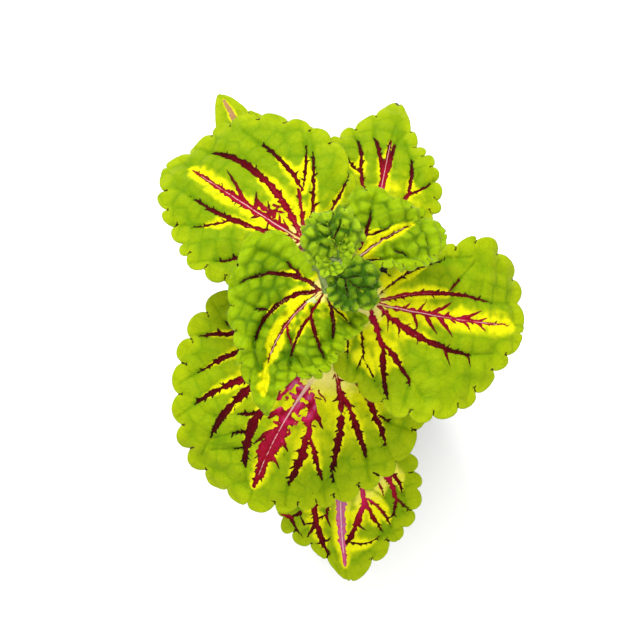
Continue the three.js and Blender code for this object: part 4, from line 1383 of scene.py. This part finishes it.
def makePot():
    height, rim, depth = pot["height"], pot["rimRadius"], pot["rimDepth"]
    under = height - depth
    wall, floor = pot["wall"], pot["floor"]

    def onWall(level, inset=0.0, at=None):
        return wallRadius(level) - inset, level if at is None else at

    profile = [
        # the hollow foot, and a fine groove round the wall above it
        (0, 1.0), (12, 1.0), (13, 0.9), (24, 0.9), (24.6, 0.1),
        onWall(0, 0.8), onWall(0, 0.2, 0.2), onWall(0, 0, 0.8),
        onWall(4), onWall(4, 0.25, 4.4), onWall(5, 0.25), onWall(5.5),
        *[onWall(level) for level in range(10, int(under) - 2, pot["ringEvery"])],
        onWall(under, 0.1, under - 0.8), onWall(under, -0.2, under - 0.1),
        # the rolled rim
        (rim - 0.8, under), (rim - 0.25, under + 0.2), (rim - 0.05, under + 0.8),
        (rim - 0.05, height - 1.6), (rim - 0.15, height - 0.9), (rim - 0.55, height - 0.3),
        (rim - 1.2, height), (rim - 2.0, height - 0.15),
        # down inside
        onWall(height, wall, height - 0.8), onWall(under, wall), onWall(20, wall),
        onWall(floor, wall, floor + 1.0), onWall(floor, wall + 1.2, floor), (0, floor),
    ]
    body = addObject("pot", turned("pot", profile, pot["sides"]))
    cutMesh = bmesh.new()
    radius = pot["drainRadius"] * mm
    for c, s in circle(pot["drains"]):
        made = bmesh.ops.create_cone(cutMesh, cap_ends=True, segments=pot["drainSides"], radius1=radius,
                                     radius2=radius, depth=pot["drainCut"] * mm)
        bmesh.ops.translate(cutMesh, verts=made["verts"], vec=Vector((c, s, 0)) * pot["drainCircle"] * mm)
    cutter = addObject("drains", bpy.data.meshes.new("drains"))
    cutMesh.to_mesh(cutter.data)
    cut = body.modifiers.new("drains", "BOOLEAN")
    cut.object = cutter
    cut.operation = "DIFFERENCE"
    shaped = bpy.data.meshes.new_from_object(body.evaluated_get(bpy.context.evaluated_depsgraph_get()))
    body.modifiers.remove(cut)
    bpy.data.objects.remove(cutter)
    body.data = shaped
    shaped.shade_smooth()
    shaped.set_sharp_from_angle(angle=math.radians(pot["sharpFrom"]))
    shaped.materials.clear()
    shaped.materials.append(materials["pot"])
    body.name = "nurseryPot"
    dress(body, "pot")


soil = {
    "level": 57, "crown": 2.5, "heap": ((0.8, 0), (0.55, 0.3), (0.3, 0.8), (0.06, 1)),
    "foot": 2.8, "spokes": 150, "rings": 60, "seed": 5,
    "rough": 0.9, "waves": 36, "waveShare": 0.22,
    "gapTop": 0.1, "gapFoot": 0.3,  # mm from the pot's wall
    "crumbs": {"Density": 0.55, "Size": 0.75, "Flatness": 0.7, "Seed": 3, "Material": "crumb"},
    "bark": {"Density": 0.06, "Size": 1.5, "Flatness": 0.35, "Seed": 4, "Material": "bark"},
    "perlite": {"Density": 0.035, "Size": 0.95, "Flatness": 0.85, "Seed": 5, "Material": "perlite"},
}


def makeSoil():
    chance = np.random.default_rng(soil["seed"])
    outer = wallRadius(soil["level"]) - pot["wall"] - soil["gapTop"]
    waves = chance.uniform((0.15, 0, 0), (2.4, 6.3, 6.3), (soil["waves"], 3))  # per mm, direction, phase

    def bumps(x, y):
        total = sum(math.sin(w * (x * math.cos(a) + y * math.sin(a)) + p) / (0.6 + w) for w, a, p in waves)
        return soil["rough"] * total * soil["waveShare"]

    shares, rises = zip(*sorted((*soil["heap"], (1.0, 0))))
    spokes, rings = soil["spokes"], soil["rings"]
    points = [(0, 0, soil["level"] + soil["crown"])]
    for ring in range(1, rings + 1):
        share = ring / rings
        rise = np.interp(share, shares, rises) * soil["crown"]
        for c, s in circle(spokes):
            x, y = outer * share * c, outer * share * s
            points.append((x, y, soil["level"] + rise + bumps(x, y)))
    topCount = len(points)
    low = wallRadius(soil["foot"]) - pot["wall"] - soil["gapFoot"]
    points += [(low * c, low * s, soil["foot"]) for c, s in circle(spokes)]
    points.append((0, 0, soil["foot"]))
    faces = [(face[0], *face[:0:-1]) for face in closedRings(rings + 1, spokes)]  # the top comes first
    ground = addObject("pottingMix", meshFrom("pottingMix", points, faces), materials["soil"])
    top = meshFrom("top", points[:topCount], faces[:rings * spokes])
    for kind in ("crumbs", "bark", "perlite"):
        values = soil[kind]
        pile = runTree(kind, top.copy(), "crumbs", values | {
            "Density": values["Density"] / mm ** 2, "Size": values["Size"] * mm,
            "Material": materials[values["Material"]],
        })
        pile.data.shade_smooth()
        dress(pile, None)
    dress(ground, "soil")


makeRoom()
materials = {name: leafMaterial(name) for name in skins}
materials |= {key: plainMaterial(*look[:5], **look[5]) for key, look in finishes.items()}
trees = {"stalks": stalkTree(), "hairs": hairTree(), "crumbs": crumbTree()}
print("room, materials and trees ready")

makePot()
makeSoil()
print("pot and potting mix made")
makeStem()
print("stem made")
for leaf in leaves:
    makeLeaf(leaf)
